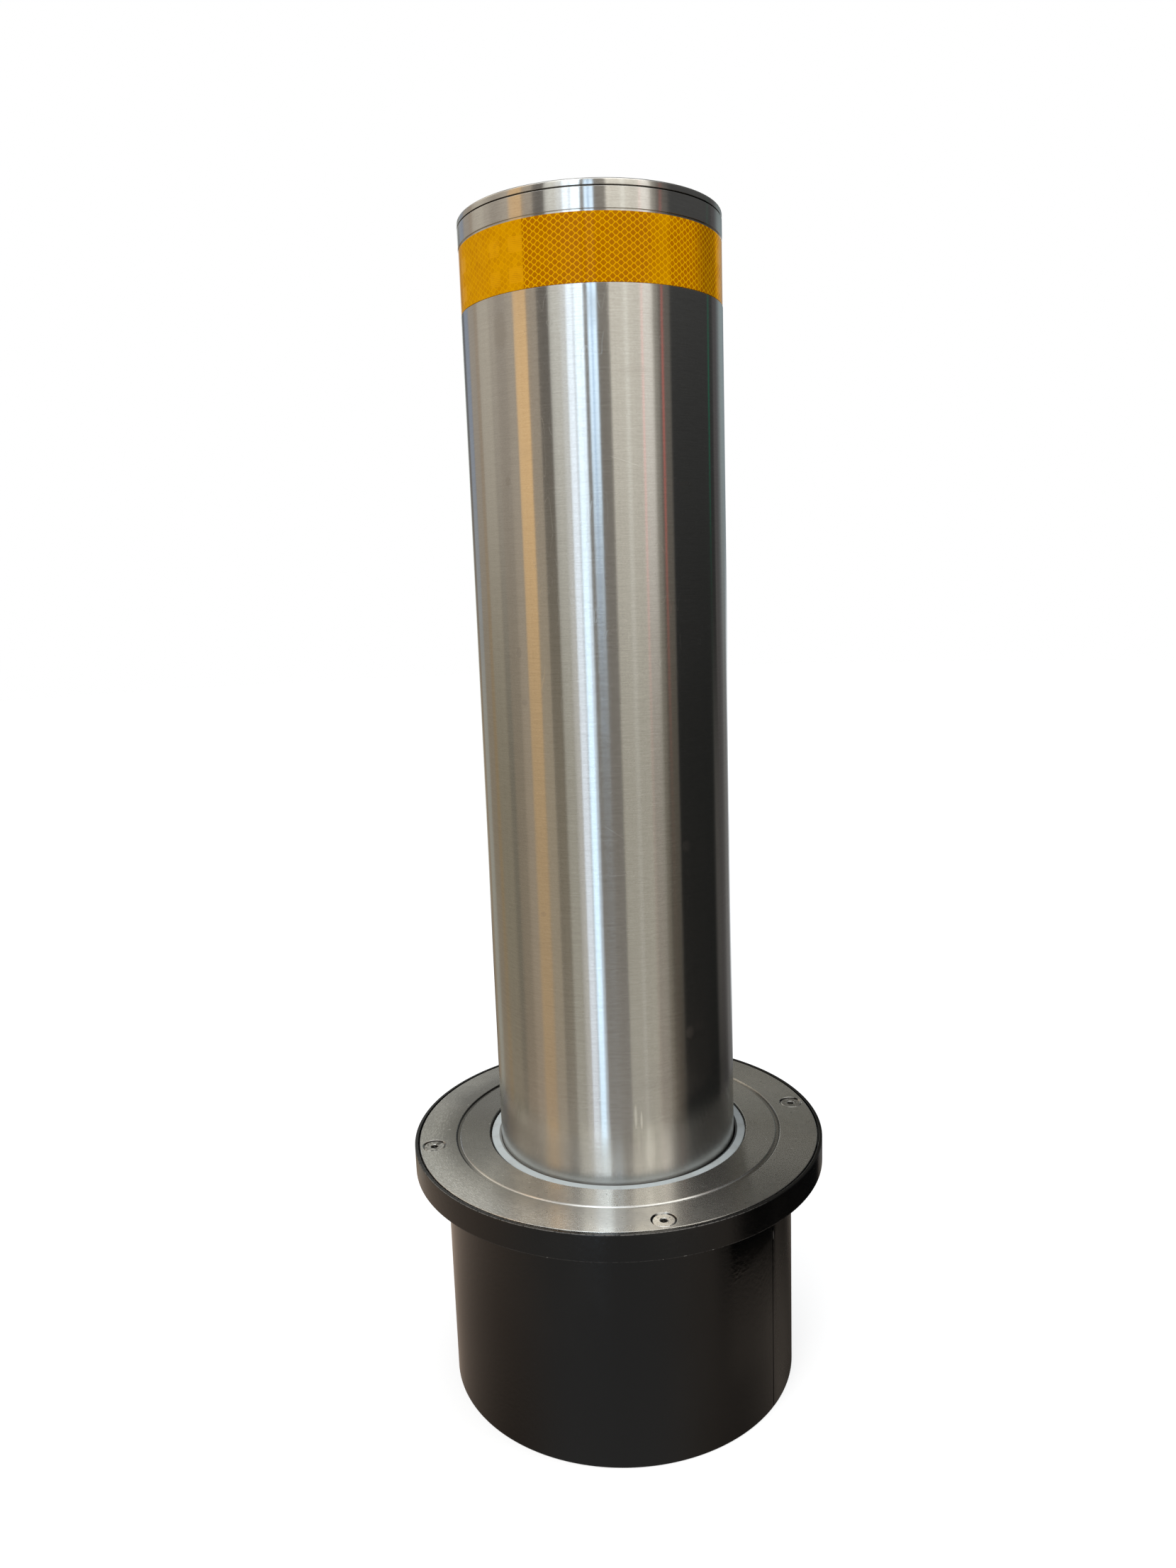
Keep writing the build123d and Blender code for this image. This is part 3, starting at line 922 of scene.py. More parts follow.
@dataclass(frozen=True)
class MillSteel(Finish):
    """Hot-rolled plate with scale and a breath of rust."""

    name: str = "mill_plate"
    scale: Colour = (0.13, 0.125, 0.125)
    bare: Colour = (0.34, 0.33, 0.32)
    rust: Colour = (0.20, 0.085, 0.035)

    def cook(self, recipe: Recipe) -> None:
        """Scale, bare patches and rust freckles.

        Args:
            recipe: The material's node tree.
        """
        place = recipe.here()
        cloud = recipe.noise(place, 24.0, 5.0)
        grit = recipe.noise(place, 500.0, 3.0)
        rust = recipe.smooth(recipe.noise(place, 55.0, 5.0), 0.60, 0.72)
        steel = recipe.mix(recipe.clamp((cloud - 0.35) * 2.0), self.scale, self.bare)
        recipe.surface(
            {
                "Base Color": recipe.mix(rust, steel, self.rust),
                "Metallic": recipe.clamp(0.9 - rust * 0.9),
                "Roughness": recipe.clamp(0.42 + rust * 0.35 + (grit - 0.5) * 0.2),
                "Normal": recipe.bump(grit + rust, 0.25, 0.0003),
            }
        )


@dataclass(frozen=True)
class ZincSteel(Finish):
    """Bright zinc on studs, nuts and washers."""

    name: str = "bright_zinc"
    bright: Colour = (0.66, 0.68, 0.70)
    cloudy: Colour = (0.42, 0.43, 0.44)

    def cook(self, recipe: Recipe) -> None:
        """Clouded zinc with fine grit.

        Args:
            recipe: The material's node tree.
        """
        place = recipe.here()
        cloud = recipe.noise(place, 90.0, 4.0)
        grit = recipe.noise(place, 900.0, 2.0)
        recipe.surface(
            {
                "Base Color": recipe.mix(recipe.clamp((cloud - 0.3) * 2.2), self.cloudy, self.bright),
                "Metallic": 1.0,
                "Roughness": recipe.clamp(0.28 + (cloud - 0.5) * 0.3 + (grit - 0.5) * 0.1),
                "Normal": recipe.bump(grit, 0.12, 0.0002),
            }
        )


# Shapes


def finished(mesh: bmesh.types.BMesh, name: str) -> bpy.types.Object:
    """Turns a bmesh into a shaded object at the origin.

    Args:
        mesh: The bmesh, which is freed.
        name: The piece's name.

    Returns:
        The object.
    """
    bmesh.ops.remove_doubles(mesh, verts=mesh.verts[:], dist=WELD)
    bmesh.ops.recalc_face_normals(mesh, faces=mesh.faces[:])
    data = bpy.data.meshes.new(name)
    mesh.to_mesh(data)
    mesh.free()
    piece = bpy.data.objects.new(name, data)
    bpy.context.scene.collection.objects.link(piece)
    shade(piece)
    return piece


def shade(piece: bpy.types.Object) -> None:
    """Smooth faces, with creases kept sharp."""
    piece.data.shade_smooth()
    piece.data.set_sharp_from_angle(angle=CREASE)


def baked(piece: bpy.types.Object) -> None:
    """Puts a piece's modifiers into its mesh.

    Args:
        piece: The piece, which is left without modifiers.
    """
    graph = bpy.context.evaluated_depsgraph_get()
    whole = bpy.data.meshes.new_from_object(piece.evaluated_get(graph))
    piece.modifiers.clear()
    piece.data = whole
    whole.name = piece.name


def even_out(piece: bpy.types.Object) -> None:
    """Makes normals follow the large faces, so that flats stay flat beside eased edges.

    Args:
        piece: The piece.
    """
    weigh = piece.modifiers.new("even", "WEIGHTED_NORMAL")
    weigh.mode = "FACE_AREA"
    weigh.weight = 50
    weigh.keep_sharp = True
    baked(piece)


def chain(mesh: bmesh.types.BMesh, outline: Sequence[Corner]) -> list[bmesh.types.BMVert]:
    """Adds an open line of corners.

    Args:
        mesh: The mesh to add to.
        outline: Radius and height of each corner in millimetres.

    Returns:
        The corners.
    """
    corners = [mesh.verts.new((radius * MM, 0.0, height * MM)) for radius, height in outline]
    for pair in zip(corners, corners[1:]):
        mesh.edges.new(pair)
    return corners


def ease(mesh: bmesh.types.BMesh, corner: bmesh.types.BMVert, size: float, segments: int) -> None:
    """Rounds one corner of an outline.

    Args:
        mesh: The outline's mesh.
        corner: The corner.
        size: How far the rounding reaches from the corner in millimetres.
        segments: How many straight steps it has.
    """
    bmesh.ops.bevel(
        mesh,
        geom=[corner],
        offset=size * MM,
        offset_type="OFFSET",
        segments=segments,
        profile=0.5,
        affect="VERTICES",
        material=-1,
        clamp_overlap=True,
    )


def spin_round(mesh: bmesh.types.BMesh, steps: int) -> None:
    """Spins an outline once round the axis.

    Args:
        mesh: The outline's mesh.
        steps: How many steps the turn has.
    """
    bmesh.ops.spin(
        mesh,
        geom=mesh.verts[:] + mesh.edges[:],
        cent=(0.0, 0.0, 0.0),
        axis=(0.0, 0.0, 1.0),
        angle=2.0 * math.pi,
        steps=steps,
        use_merge=True,
    )


def turned(
    name: str, outline: Sequence[Corner], eases: Mapping[int, float] | None = None, steps: int = TURN_STEPS
) -> bpy.types.Object:
    """Turns a closed outline of radius and height about the axis.

    Args:
        name: The piece's name.
        outline: Corners in millimetres; one that starts and ends on the axis is left open there.
        eases: The rounding at a corner, by its number.
        steps: How many steps the turn has.

    Returns:
        The turned piece.
    """
    mesh = bmesh.new()
    corners = chain(mesh, outline)
    if outline[0][0] > 0.0:
        mesh.edges.new((corners[-1], corners[0]))
    for number, size in (eases or {}).items():
        ease(mesh, corners[number], size, EASE_STEPS)
    spin_round(mesh, steps)
    return finished(mesh, name)


def moved(piece: bpy.types.Object, matrix: Matrix) -> bpy.types.Object:
    """The piece with its mesh moved, so that its object stays at the origin."""
    piece.data.transform(matrix)
    return piece


def on_circle(radius: float, angle: float, height: float = 0.0, spin: float = 0.0) -> Matrix:
    """The place at an angle on a circle.

    Args:
        radius: The circle's radius in millimetres.
        angle: The angle in degrees.
        height: The level in millimetres.
        spin: A turn about the place's own axis in degrees.

    Returns:
        The matrix that takes a shape from the origin to that place.
    """
    turn = Matrix.Rotation(math.radians(angle), 4, "Z")
    place = Matrix.Translation(Vector((radius, 0.0, height)) * MM)
    return turn @ place @ Matrix.Rotation(math.radians(spin), 4, "Z")


def carve(piece: bpy.types.Object, tools: Sequence[bpy.types.Object]) -> None:
    """Cuts tools out of a piece and removes them.

    Args:
        piece: The piece to cut.
        tools: Closed shapes to take away.
    """
    for tool in tools:
        cut = piece.modifiers.new("cut", "BOOLEAN")
        cut.operation = "DIFFERENCE"
        cut.solver = "EXACT"
        cut.object = tool
    baked(piece)
    for tool in tools:
        bpy.data.objects.remove(tool)
    shade(piece)


def angles(count: int, first: float = 0.0) -> list[float]:
    """Evenly spaced angles in degrees."""
    return [first + 360.0 * number / count for number in range(count)]


def dress(piece: bpy.types.Object, finish: Finish) -> None:
    """Gives a piece one finish in all its slots.

    Args:
        piece: The piece.
        finish: Its finish.
    """
    material = finish.material()
    if not piece.material_slots:
        piece.data.materials.append(material)
    for slot in piece.material_slots:
        slot.material = material


def settle(piece: bpy.types.Object, finish: Finish, node: str) -> None:
    """Finishes a new piece and puts it in the frame.

    Args:
        piece: The piece, already in place.
        finish: Its finish.
        node: The solid that it stands for.
    """
    even_out(piece)
    dress(piece, finish)
    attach(piece, BODY)
    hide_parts(node)
    LOG.info("piece %s, %d faces", piece.name, len(piece.data.polygons))


@dataclass(frozen=True)
class SunkScrew:
    """A countersunk screw with a hexagon socket."""

    head: float
    head_edge: float
    thread: float
    length: float
    socket: float
    socket_depth: float
    sink: float
    lead_in: float = 0.45
    lead_margin: float = 0.25
    rim_ease: float = 0.25
    tip: float = 0.8
    drill_point: float = 0.9

    @property
    def drop(self) -> float:
        """How far the head's face lies under the plate's face."""
        return (self.sink - self.head) / 2.0 - self.head_edge

    @property
    def socket_corner(self) -> float:
        """The radius of the socket's corners."""
        return self.socket / math.sqrt(3.0)

    def build(self, name: str) -> bpy.types.Object:
        """One screw, its face at zero.

        Args:
            name: The piece's name.

        Returns:
            The screw.
        """
        mouth = self.socket_corner + self.lead_margin
        cone_end = -self.head_edge - (self.head - self.thread) / 2.0
        outline = [
            (mouth, 0.0),
            (self.head / 2.0 - self.head_edge, 0.0),
            (self.head / 2.0, -self.head_edge),
            (self.thread / 2.0, cone_end),
            (self.thread / 2.0, -self.length + self.tip),
            (self.thread / 2.0 - self.tip, -self.length),
            (0.0, -self.length),
        ]
        mesh = bmesh.new()
        corners = chain(mesh, outline)
        ease(mesh, corners[1], self.rim_ease, 3)
        spin_round(mesh, SMALL_STEPS)
        bmesh.ops.remove_doubles(mesh, verts=mesh.verts[:], dist=WELD)
        rim = [edge for edge in mesh.edges if edge.is_boundary]
        start = Matrix.Translation((0.0, 0.0, -self.lead_in * MM))
        hexagon = bmesh.ops.create_circle(
            mesh, cap_ends=False, segments=6, radius=self.socket_corner * MM, matrix=start
        )
        sides = list({edge for vert in hexagon["verts"] for edge in vert.link_edges})
        bmesh.ops.bridge_loops(mesh, edges=rim + sides)
        walls = bmesh.ops.extrude_edge_only(mesh, edges=sides)["geom"]
        bottom = [item for item in walls if isinstance(item, bmesh.types.BMVert)]
        bmesh.ops.translate(mesh, verts=bottom, vec=(0.0, 0.0, (self.lead_in - self.socket_depth) * MM))
        loop = [item for item in walls if isinstance(item, bmesh.types.BMEdge)]
        floor = bmesh.ops.contextual_create(mesh, geom=loop)["faces"]
        bmesh.ops.poke(mesh, faces=floor, offset=0.0)
        level = -self.socket_depth * MM
        centre = min(mesh.verts, key=lambda vert: (vert.co.xy.length, abs(vert.co.z - level)))
        centre.co.z -= self.drill_point * MM
        return finished(mesh, name)

    def sinker(self, name: str, hole: float, depth: float, broken: float = 0.35) -> bpy.types.Object:
        """The shape that cuts this screw's countersink, with the plate's face at zero.

        Args:
            name: The shape's name.
            hole: The clearance hole's diameter.
            depth: The plate's thickness.
            broken: How far the mouth's edge is broken back.

        Returns:
            The cutting shape.
        """
        spare = 1.0
        mouth = self.sink / 2.0
        break_depth = broken * 0.75
        outline = [
            (0.0, spare),
            (mouth + broken + 2.0 * spare, spare),
            (mouth + broken, 0.0),
            (mouth, -break_depth),
            (hole / 2.0, -(mouth - hole / 2.0) - break_depth),
            (hole / 2.0, -depth - spare),
            (0.0, -depth - spare),
        ]
        return turned(name, outline, steps=SMALL_STEPS)


CAP_SCREW = SunkScrew(
    head=11.5, head_edge=0.3, thread=6.0, length=18.0, socket=4.0, socket_depth=2.5, sink=12.2
)
COVER_SCREW = SunkScrew(
    head=19.0, head_edge=0.5, thread=10.0, length=25.0, socket=6.0, socket_depth=4.0, sink=21.2
)


# Sub-assemblies


@dataclass
class PostAssembly:
    """The tube with its tape band, cap and cap screws."""

    radius: float = 109.5
    wall: float = 6.0
    foot: float = 25.0
    top: float = 1026.1
    recess_depth: float = 0.9
    recess_low: float = 958.4
    recess_high: float = 1010.7
    recess_ease: float = 0.2
    top_ease: float = 0.4
    weep_diameter: float = 12.0
    weep_level: float = 37.0
    weep_count: int = 4
    tape_radius: float = 108.7
    tape_thickness: float = 0.5
    tape_low: float = 959.0
    tape_high: float = 1009.0
    tape_ease: float = 0.18
    cap_low: float = 1027.0
    cap_top: float = 1032.0
    cap_edge: float = 1.5
    cap_foot_ease: float = 0.25
    spigot_low: float = 1021.0
    spigot_clearance: float = 0.3
    spigot_wall: float = 24.0
    screw_circle: float = 91.0
    screw_hole: float = 6.6
    screw_mouth: float = 0.2
    screw_count: int = 4
    screw_first: float = 45.0
    screw_turn: float = 23.0

    def build(self) -> None:
        """Builds and dresses every piece of the post."""
        self.tube()
        self.tape()
        self.cap()

    def tube(self) -> None:
        """The tube with its recess and weep holes."""
        inner = self.radius - self.wall
        recess = self.radius - self.recess_depth
        outline = [
            (inner, self.foot),
            (self.radius, self.foot),
            (self.radius, self.recess_low),
            (recess, self.recess_low),
            (recess, self.recess_high),
            (self.radius, self.recess_high),
            (self.radius, self.top),
            (inner, self.top),
        ]
        piece = turned("post_shell", outline, {2: self.recess_ease, 5: self.recess_ease, 6: self.top_ease})
        lying = Matrix.Rotation(math.pi / 2.0, 4, "Y")
        tools = []
        for number, angle in enumerate(angles(self.weep_count)):
            drill = bmesh.new()
            bmesh.ops.create_cone(
                drill,
                cap_ends=True,
                segments=48,
                radius1=self.weep_diameter / 2.0 * MM,
                radius2=self.weep_diameter / 2.0 * MM,
                depth=4.0 * self.wall * MM,
                matrix=on_circle(self.radius, angle, self.weep_level) @ lying,
            )
            tools.append(finished(drill, f"weep_tool_{number}"))
        carve(piece, tools)
        settle(piece, BrushedPostSteel(), "post_tube")

    def tape(self) -> None:
        """The wrapped band of reflective tape."""
        outer = self.tape_radius + self.tape_thickness
        outline = [
            (self.tape_radius, self.tape_low),
            (outer, self.tape_low),
            (outer, self.tape_high),
            (self.tape_radius, self.tape_high),
        ]
        piece = turned("tape_band", outline, {1: self.tape_ease, 2: self.tape_ease})
        settle(piece, ReflectiveTape(), "reflective_band")

    def cap(self) -> None:
        """The turned cap and the screws that hold it."""
        spigot = self.radius - self.wall - self.spigot_clearance
        outline = [
            (0.0, self.cap_top),
            (self.radius, self.cap_top),
            (self.radius, self.cap_low),
            (spigot, self.cap_low),
            (spigot, self.spigot_low),
            (spigot - self.spigot_wall, self.spigot_low),
            (spigot - self.spigot_wall, self.cap_low),
            (0.0, self.cap_low),
        ]
        piece = turned("post_cap", outline, {1: self.cap_edge, 2: self.cap_foot_ease})
        depth = self.cap_top - self.spigot_low
        level = self.cap_top - CAP_SCREW.drop
        tools = []
        for number, angle in enumerate(angles(self.screw_count, self.screw_first), 1):
            tool = CAP_SCREW.sinker(f"cap_tool_{number}", self.screw_hole, depth, self.screw_mouth)
            tools.append(moved(tool, on_circle(self.screw_circle, angle, self.cap_top)))
            bolt = CAP_SCREW.build(f"cap_bolt_{number}")
            moved(bolt, on_circle(self.screw_circle, angle, level, self.screw_turn * number))
            settle(bolt, ScrewSteel("cap_screw_steel", level), f"cap_screw_{number}")
        carve(piece, tools)
        settle(piece, BrushedPostSteel(), "top_cap")


@dataclass
class CoverAssembly:
    """The turned cover plate with its screws and the seal in its bore."""

    top: float = 232.0
    thickness: float = 12.0
    radius: float = 186.0
    edge: float = 0.6
    bore: float = 121.0
    lip_bore: float = 115.5
    lip: float = 4.0
    groove: float = 150.0
    groove_width: float = 4.8
    groove_depth: float = 1.2
    groove_run: float = 0.7
    groove_ease: float = 0.25
    bore_ease: float = 0.35
    screw_circle: float = 173.0
    screw_hole: float = 11.0
    screw_count: int = 4
    screw_turn: float = 17.0
    soiled_screw: int = 3
    soiling: float = 0.8
    seal_outer: float = 119.4
    seal_inner: float = 112.1
    seal_skirt: float = 110.4
    seal_ledge: float = 0.8
    seal_drop: float = 1.8
    seal_relief: float = 2.5
    seal_lip: float = 2.2
    seal_outer_ease: float = 0.7
    seal_inner_ease: float = 0.5
    seal_skirt_ease: float = 0.3
    seal_shift: tuple[float, float] = (0.4, 0.5)

    def build(self) -> None:
        """Builds and dresses the plate, its screws and the seal."""
        self.plate_and_screws()
        self.seal()

    def plate_and_screws(self) -> None:
        """The plate with its groove, stepped bore and countersinks, and the four screws."""
        low = self.top - self.thickness
        step = low + self.lip
        outer = self.groove + self.groove_width / 2.0
        inner = self.groove - self.groove_width / 2.0
        floor = self.top - self.groove_depth
        outline = [
            (self.lip_bore, low),
            (self.radius, low),
            (self.radius, self.top),
            (outer, self.top),
            (outer - self.groove_run, floor),
            (inner + self.groove_run, floor),
            (inner, self.top),
            (self.bore, self.top),
            (self.bore, step),
            (self.lip_bore, step),
        ]
        eases = {2: self.edge, 7: self.bore_ease} | dict.fromkeys(range(3, 7), self.groove_ease)
        piece = turned("cover_disc", outline, dict(sorted(eases.items())))
        level = self.top - COVER_SCREW.drop
        clean = ScrewSteel("cover_screw_steel", level)
        soiled = ScrewSteel("soiled_screw_steel", level, self.soiling)
        tools = []
        for number, angle in enumerate(angles(self.screw_count), 1):
            tool = COVER_SCREW.sinker(f"cover_tool_{number}", self.screw_hole, self.thickness)
            tools.append(moved(tool, on_circle(self.screw_circle, angle, self.top)))
            bolt = COVER_SCREW.build(f"cover_bolt_{number}")
            moved(bolt, on_circle(self.screw_circle, angle, level, self.screw_turn * number))
            finish = soiled if number == self.soiled_screw else clean
            settle(bolt, finish, f"cover_screw_{number}")
        carve(piece, tools)
        settle(piece, TurnedCoverSteel(), "cover_plate")

    def seal(self) -> None:
        """The moulded ring between the plate and the post."""
        step = self.top - self.thickness + self.lip
        top = self.top - self.seal_drop
        outline = [
            (self.seal_inner + self.seal_relief, step),
            (self.seal_outer, step),
            (self.seal_outer, top),
            (self.seal_inner, top),
            (self.seal_inner, top - self.seal_ledge),
            (self.seal_skirt, top - self.seal_ledge),
            (self.seal_skirt, top - self.seal_lip),
            (self.seal_inner + self.seal_relief, top - 2.0 * self.seal_lip),
        ]
        eases = {2: self.seal_outer_ease, 3: self.seal_inner_ease, 5: self.seal_skirt_ease}
        piece = turned("seal_moulding", outline, eases)
        aside = Vector((*self.seal_shift, 0.0)) * MM
        moved(piece, Matrix.Translation(Matrix.Rotation(math.radians(FRONT + 90.0), 3, "Z") @ aside))
        settle(piece, SealPlastic(), "seal_ring")


@dataclass
class HousingAssembly:
    """The painted drum and the collar round the cover."""

    wall_outer: float = 161.95
    wall_inner: float = 156.95
    wall_top: float = 208.0
    wall_ease: float = 0.6
    seam_angle: float = -46.5
    seam_width: float = 1.2
    seam_depth: float = 0.7
    rim_inner: float = 187.5
    rim_outer: float = 190.5
    rim_top: float = 232.0
    rim_edge: float = 0.8
    rim_side_ease: float = 0.4
    painted: tuple[str, ...] = ("flange_ring", "floor_plate")

    def build(self, nodes: Mapping[str, bpy.types.Object]) -> None:
        """Builds the painted pieces and dresses the solids that stay.

        Args:
            nodes: The frame's solids by name.
        """
        self.wall()
        self.rim()
        for name in self.painted:
            dress(nodes[name], BlackPaint())
            LOG.info("solid %s dressed", name)

    def wall(self) -> None:
        """The rolled wall with its butt seam."""
        outline = [
            (self.wall_inner, 0.0),
            (self.wall_outer, 0.0),
            (self.wall_outer, self.wall_top),
            (self.wall_inner, self.wall_top),
        ]
        piece = turned("drum_shell", outline, {1: self.wall_ease})
        slit = bmesh.new()
        size = Vector((2.0 * self.seam_depth, self.seam_width, 1.2 * self.wall_top)) * MM
        bmesh.ops.create_cube(slit, size=1.0, matrix=Matrix.Diagonal((*size, 1.0)))
        tool = finished(slit, "seam_tool")
        moved(tool, on_circle(self.wall_outer, self.seam_angle, self.wall_top / 2.0))
        carve(piece, [tool])
        settle(piece, BlackPaint(), "housing_wall")

    def rim(self) -> None:
        """The rolled bar that forms the collar's face."""
        outline = [
            (self.rim_inner, self.wall_top),
            (self.rim_outer, self.wall_top),
            (self.rim_outer, self.rim_top),
            (self.rim_inner, self.rim_top),
        ]
        eases = {1: self.rim_side_ease, 2: self.rim_edge, 3: self.rim_side_ease}
        piece = turned("collar_band", outline, eases)
        settle(piece, BlackPaint(), "rim_band")


@dataclass
class FootAssembly:
    """The hidden foot: ring, webs, studs, washers, nuts and the cap's seat."""

    mill: tuple[str, ...] = ("foot_flange", "foot_gusset", "cap_seat_ring")
    zinc: tuple[str, ...] = ("foot_stud", "foot_washer", "foot_nut")

    def build(self, nodes: Mapping[str, bpy.types.Object]) -> None:
        """Dresses the solids of the foot as they are.

        Args:
            nodes: The frame's solids by name.
        """
        for name, node in nodes.items():
            if name.startswith(self.mill):
                finish = MillSteel()
            elif name.startswith(self.zinc):
                finish = ZincSteel()
            else:
                continue
            dress(node, finish)
            LOG.info("solid %s dressed", name)


# Studio


@dataclass(frozen=True)
class Panel:
    """One upright card or strip light, as glossy surfaces see it."""

    name: str
    left: float
    right: float
    edge: float
    upper: Colour
    lower: Colour
    lowest: float = -90.0
    highest: float = 90.0


PANELS = (
    Panel("brown_card", -172.0, -150.0, 6.0, (0.09, 0.09, 0.09), (0.19, 0.145, 0.095)),
    Panel("cool_strip_left", -150.0, -137.0, 4.0, (0.19, 0.21, 0.25), (0.235, 0.22, 0.18)),
    Panel("grey_card_left", -137.0, -57.3, 3.0, (0.27, 0.235, 0.195), (0.19, 0.155, 0.11)),
    Panel("pale_strip_left", -119.0, -99.0, 6.0, (0.37, 0.33, 0.27), (0.18, 0.155, 0.11)),
    Panel("ochre_strip", -124.0, -118.0, 2.0, (0.27, 0.22, 0.17), (0.21, 0.155, 0.09)),
    Panel("shade_strip", -99.5, -92.5, 3.0, (0.32, 0.28, 0.23), (0.13, 0.115, 0.085)),
    Panel("tan_edge", -80.0, -70.5, 4.0, (0.31, 0.27, 0.22), (0.26, 0.21, 0.15)),
    Panel("warm_haze", -70.5, -57.3, 1.6, (0.40, 0.27, 0.15), (0.40, 0.27, 0.15), lowest=12.0),
    Panel("warm_strip", -70.5, -57.3, 1.6, (0.71, 0.46, 0.22), (0.35, 0.245, 0.135), highest=14.0),
    Panel("tan_card", -57.3, -47.5, 1.6, (0.265, 0.225, 0.18), (0.265, 0.22, 0.155)),
    Panel("dark_strip", -47.5, -37.0, 1.6, (0.10, 0.09, 0.08), (0.165, 0.14, 0.10)),
    Panel("pale_card_left", -37.0, -21.7, 2.2, (0.47, 0.455, 0.41), (0.27, 0.25, 0.20)),
    Panel("pale_fold", -27.0, -21.7, 4.0, (0.53, 0.53, 0.51), (0.39, 0.37, 0.33)),
    Panel("key_strip", -22.0, -16.4, 1.2, (0.84, 0.92, 0.99), (0.66, 0.70, 0.75)),
    Panel("key_face", -15.2, -9.5, 1.2, (0.84, 0.94, 1.0), (0.80, 1.02, 1.20)),
    Panel("key_side", -9.5, -7.3, 1.2, (1.0, 1.14, 1.26), (0.40, 0.44, 0.48)),
    Panel("key_divider", -16.8, -15.2, 0.8, (0.54, 0.57, 0.61), (0.48, 0.51, 0.54)),
    Panel("cool_key", -3.7, 3.9, 1.2, (1.06, 1.34, 1.6), (1.06, 1.34, 1.6), 5.0, 21.0),
    Panel("cool_divider", -1.1, 0.5, 0.5, (0.52, 0.72, 0.98), (0.52, 0.72, 0.98), 5.0, 21.0),
    Panel("pale_card_right", 14.5, 56.0, 2.4, (0.51, 0.475, 0.41), (0.29, 0.27, 0.22)),
    Panel("pale_seam", 26.8, 30.6, 2.0, (0.63, 0.60, 0.53), (0.33, 0.31, 0.26)),
    Panel("bright_card_right", 43.4, 52.5, 3.0, (0.65, 0.61, 0.55), (0.215, 0.19, 0.155)),
    Panel("rosy_line", 41.6, 43.2, 0.7, (0.92, 0.54, 0.50), (0.27, 0.235, 0.19), highest=14.0),
    Panel("fade_card", 53.0, 60.0, 5.0, (0.24, 0.22, 0.19), (0.125, 0.11, 0.085)),
    Panel("dim_card", 58.0, 69.0, 3.0, (0.125, 0.11, 0.095), (0.075, 0.065, 0.05)),
    Panel("red_line", 60.3, 62.1, 0.7, (0.56, 0.13, 0.11), (0.16, 0.11, 0.08), 0.0, 14.0),
    Panel("dark_flag", 69.0, 128.0, 3.0, (0.028, 0.028, 0.027), (0.012, 0.012, 0.011)),
    Panel("high_flag", 67.0, 128.0, 6.0, (0.075, 0.073, 0.07), (0.075, 0.073, 0.07), 17.0),
    Panel("green_line", 117.8, 119.4, 0.5, (0.005, 0.14, 0.075), (0.01, 0.05, 0.03), 5.0, 13.0),
    Panel("dim_edge", 118.5, 128.0, 4.0, (0.06, 0.055, 0.05), (0.06, 0.055, 0.05), highest=-6.0),
    Panel("dim_rear", 127.0, 143.0, 4.0, (0.065, 0.06, 0.06), (0.055, 0.05, 0.047)),
    Panel("grey_card_right", 141.0, 175.0, 17.0, (0.19, 0.22, 0.22), (0.11, 0.105, 0.10)),
)


@dataclass(frozen=True)
class Lamp:
    """One round soft lamp, in metres and watts."""

    name: str
    place: Triple
    size: float
    power: float
    colour: Colour


LAMPS = (
    Lamp("soft_left", (-1.5, -1.7, 2.3), 2.2, 26.0, (1.0, 0.98, 0.95)),
    Lamp("soft_right", (1.9, -0.9, 1.9), 1.8, 9.0, (0.98, 0.99, 1.0)),
)


@dataclass(frozen=True)
class Gaze:
    """A direction in the world's node tree: degrees round from the front, and degrees up."""

    bearing: Field
    elevation: Field


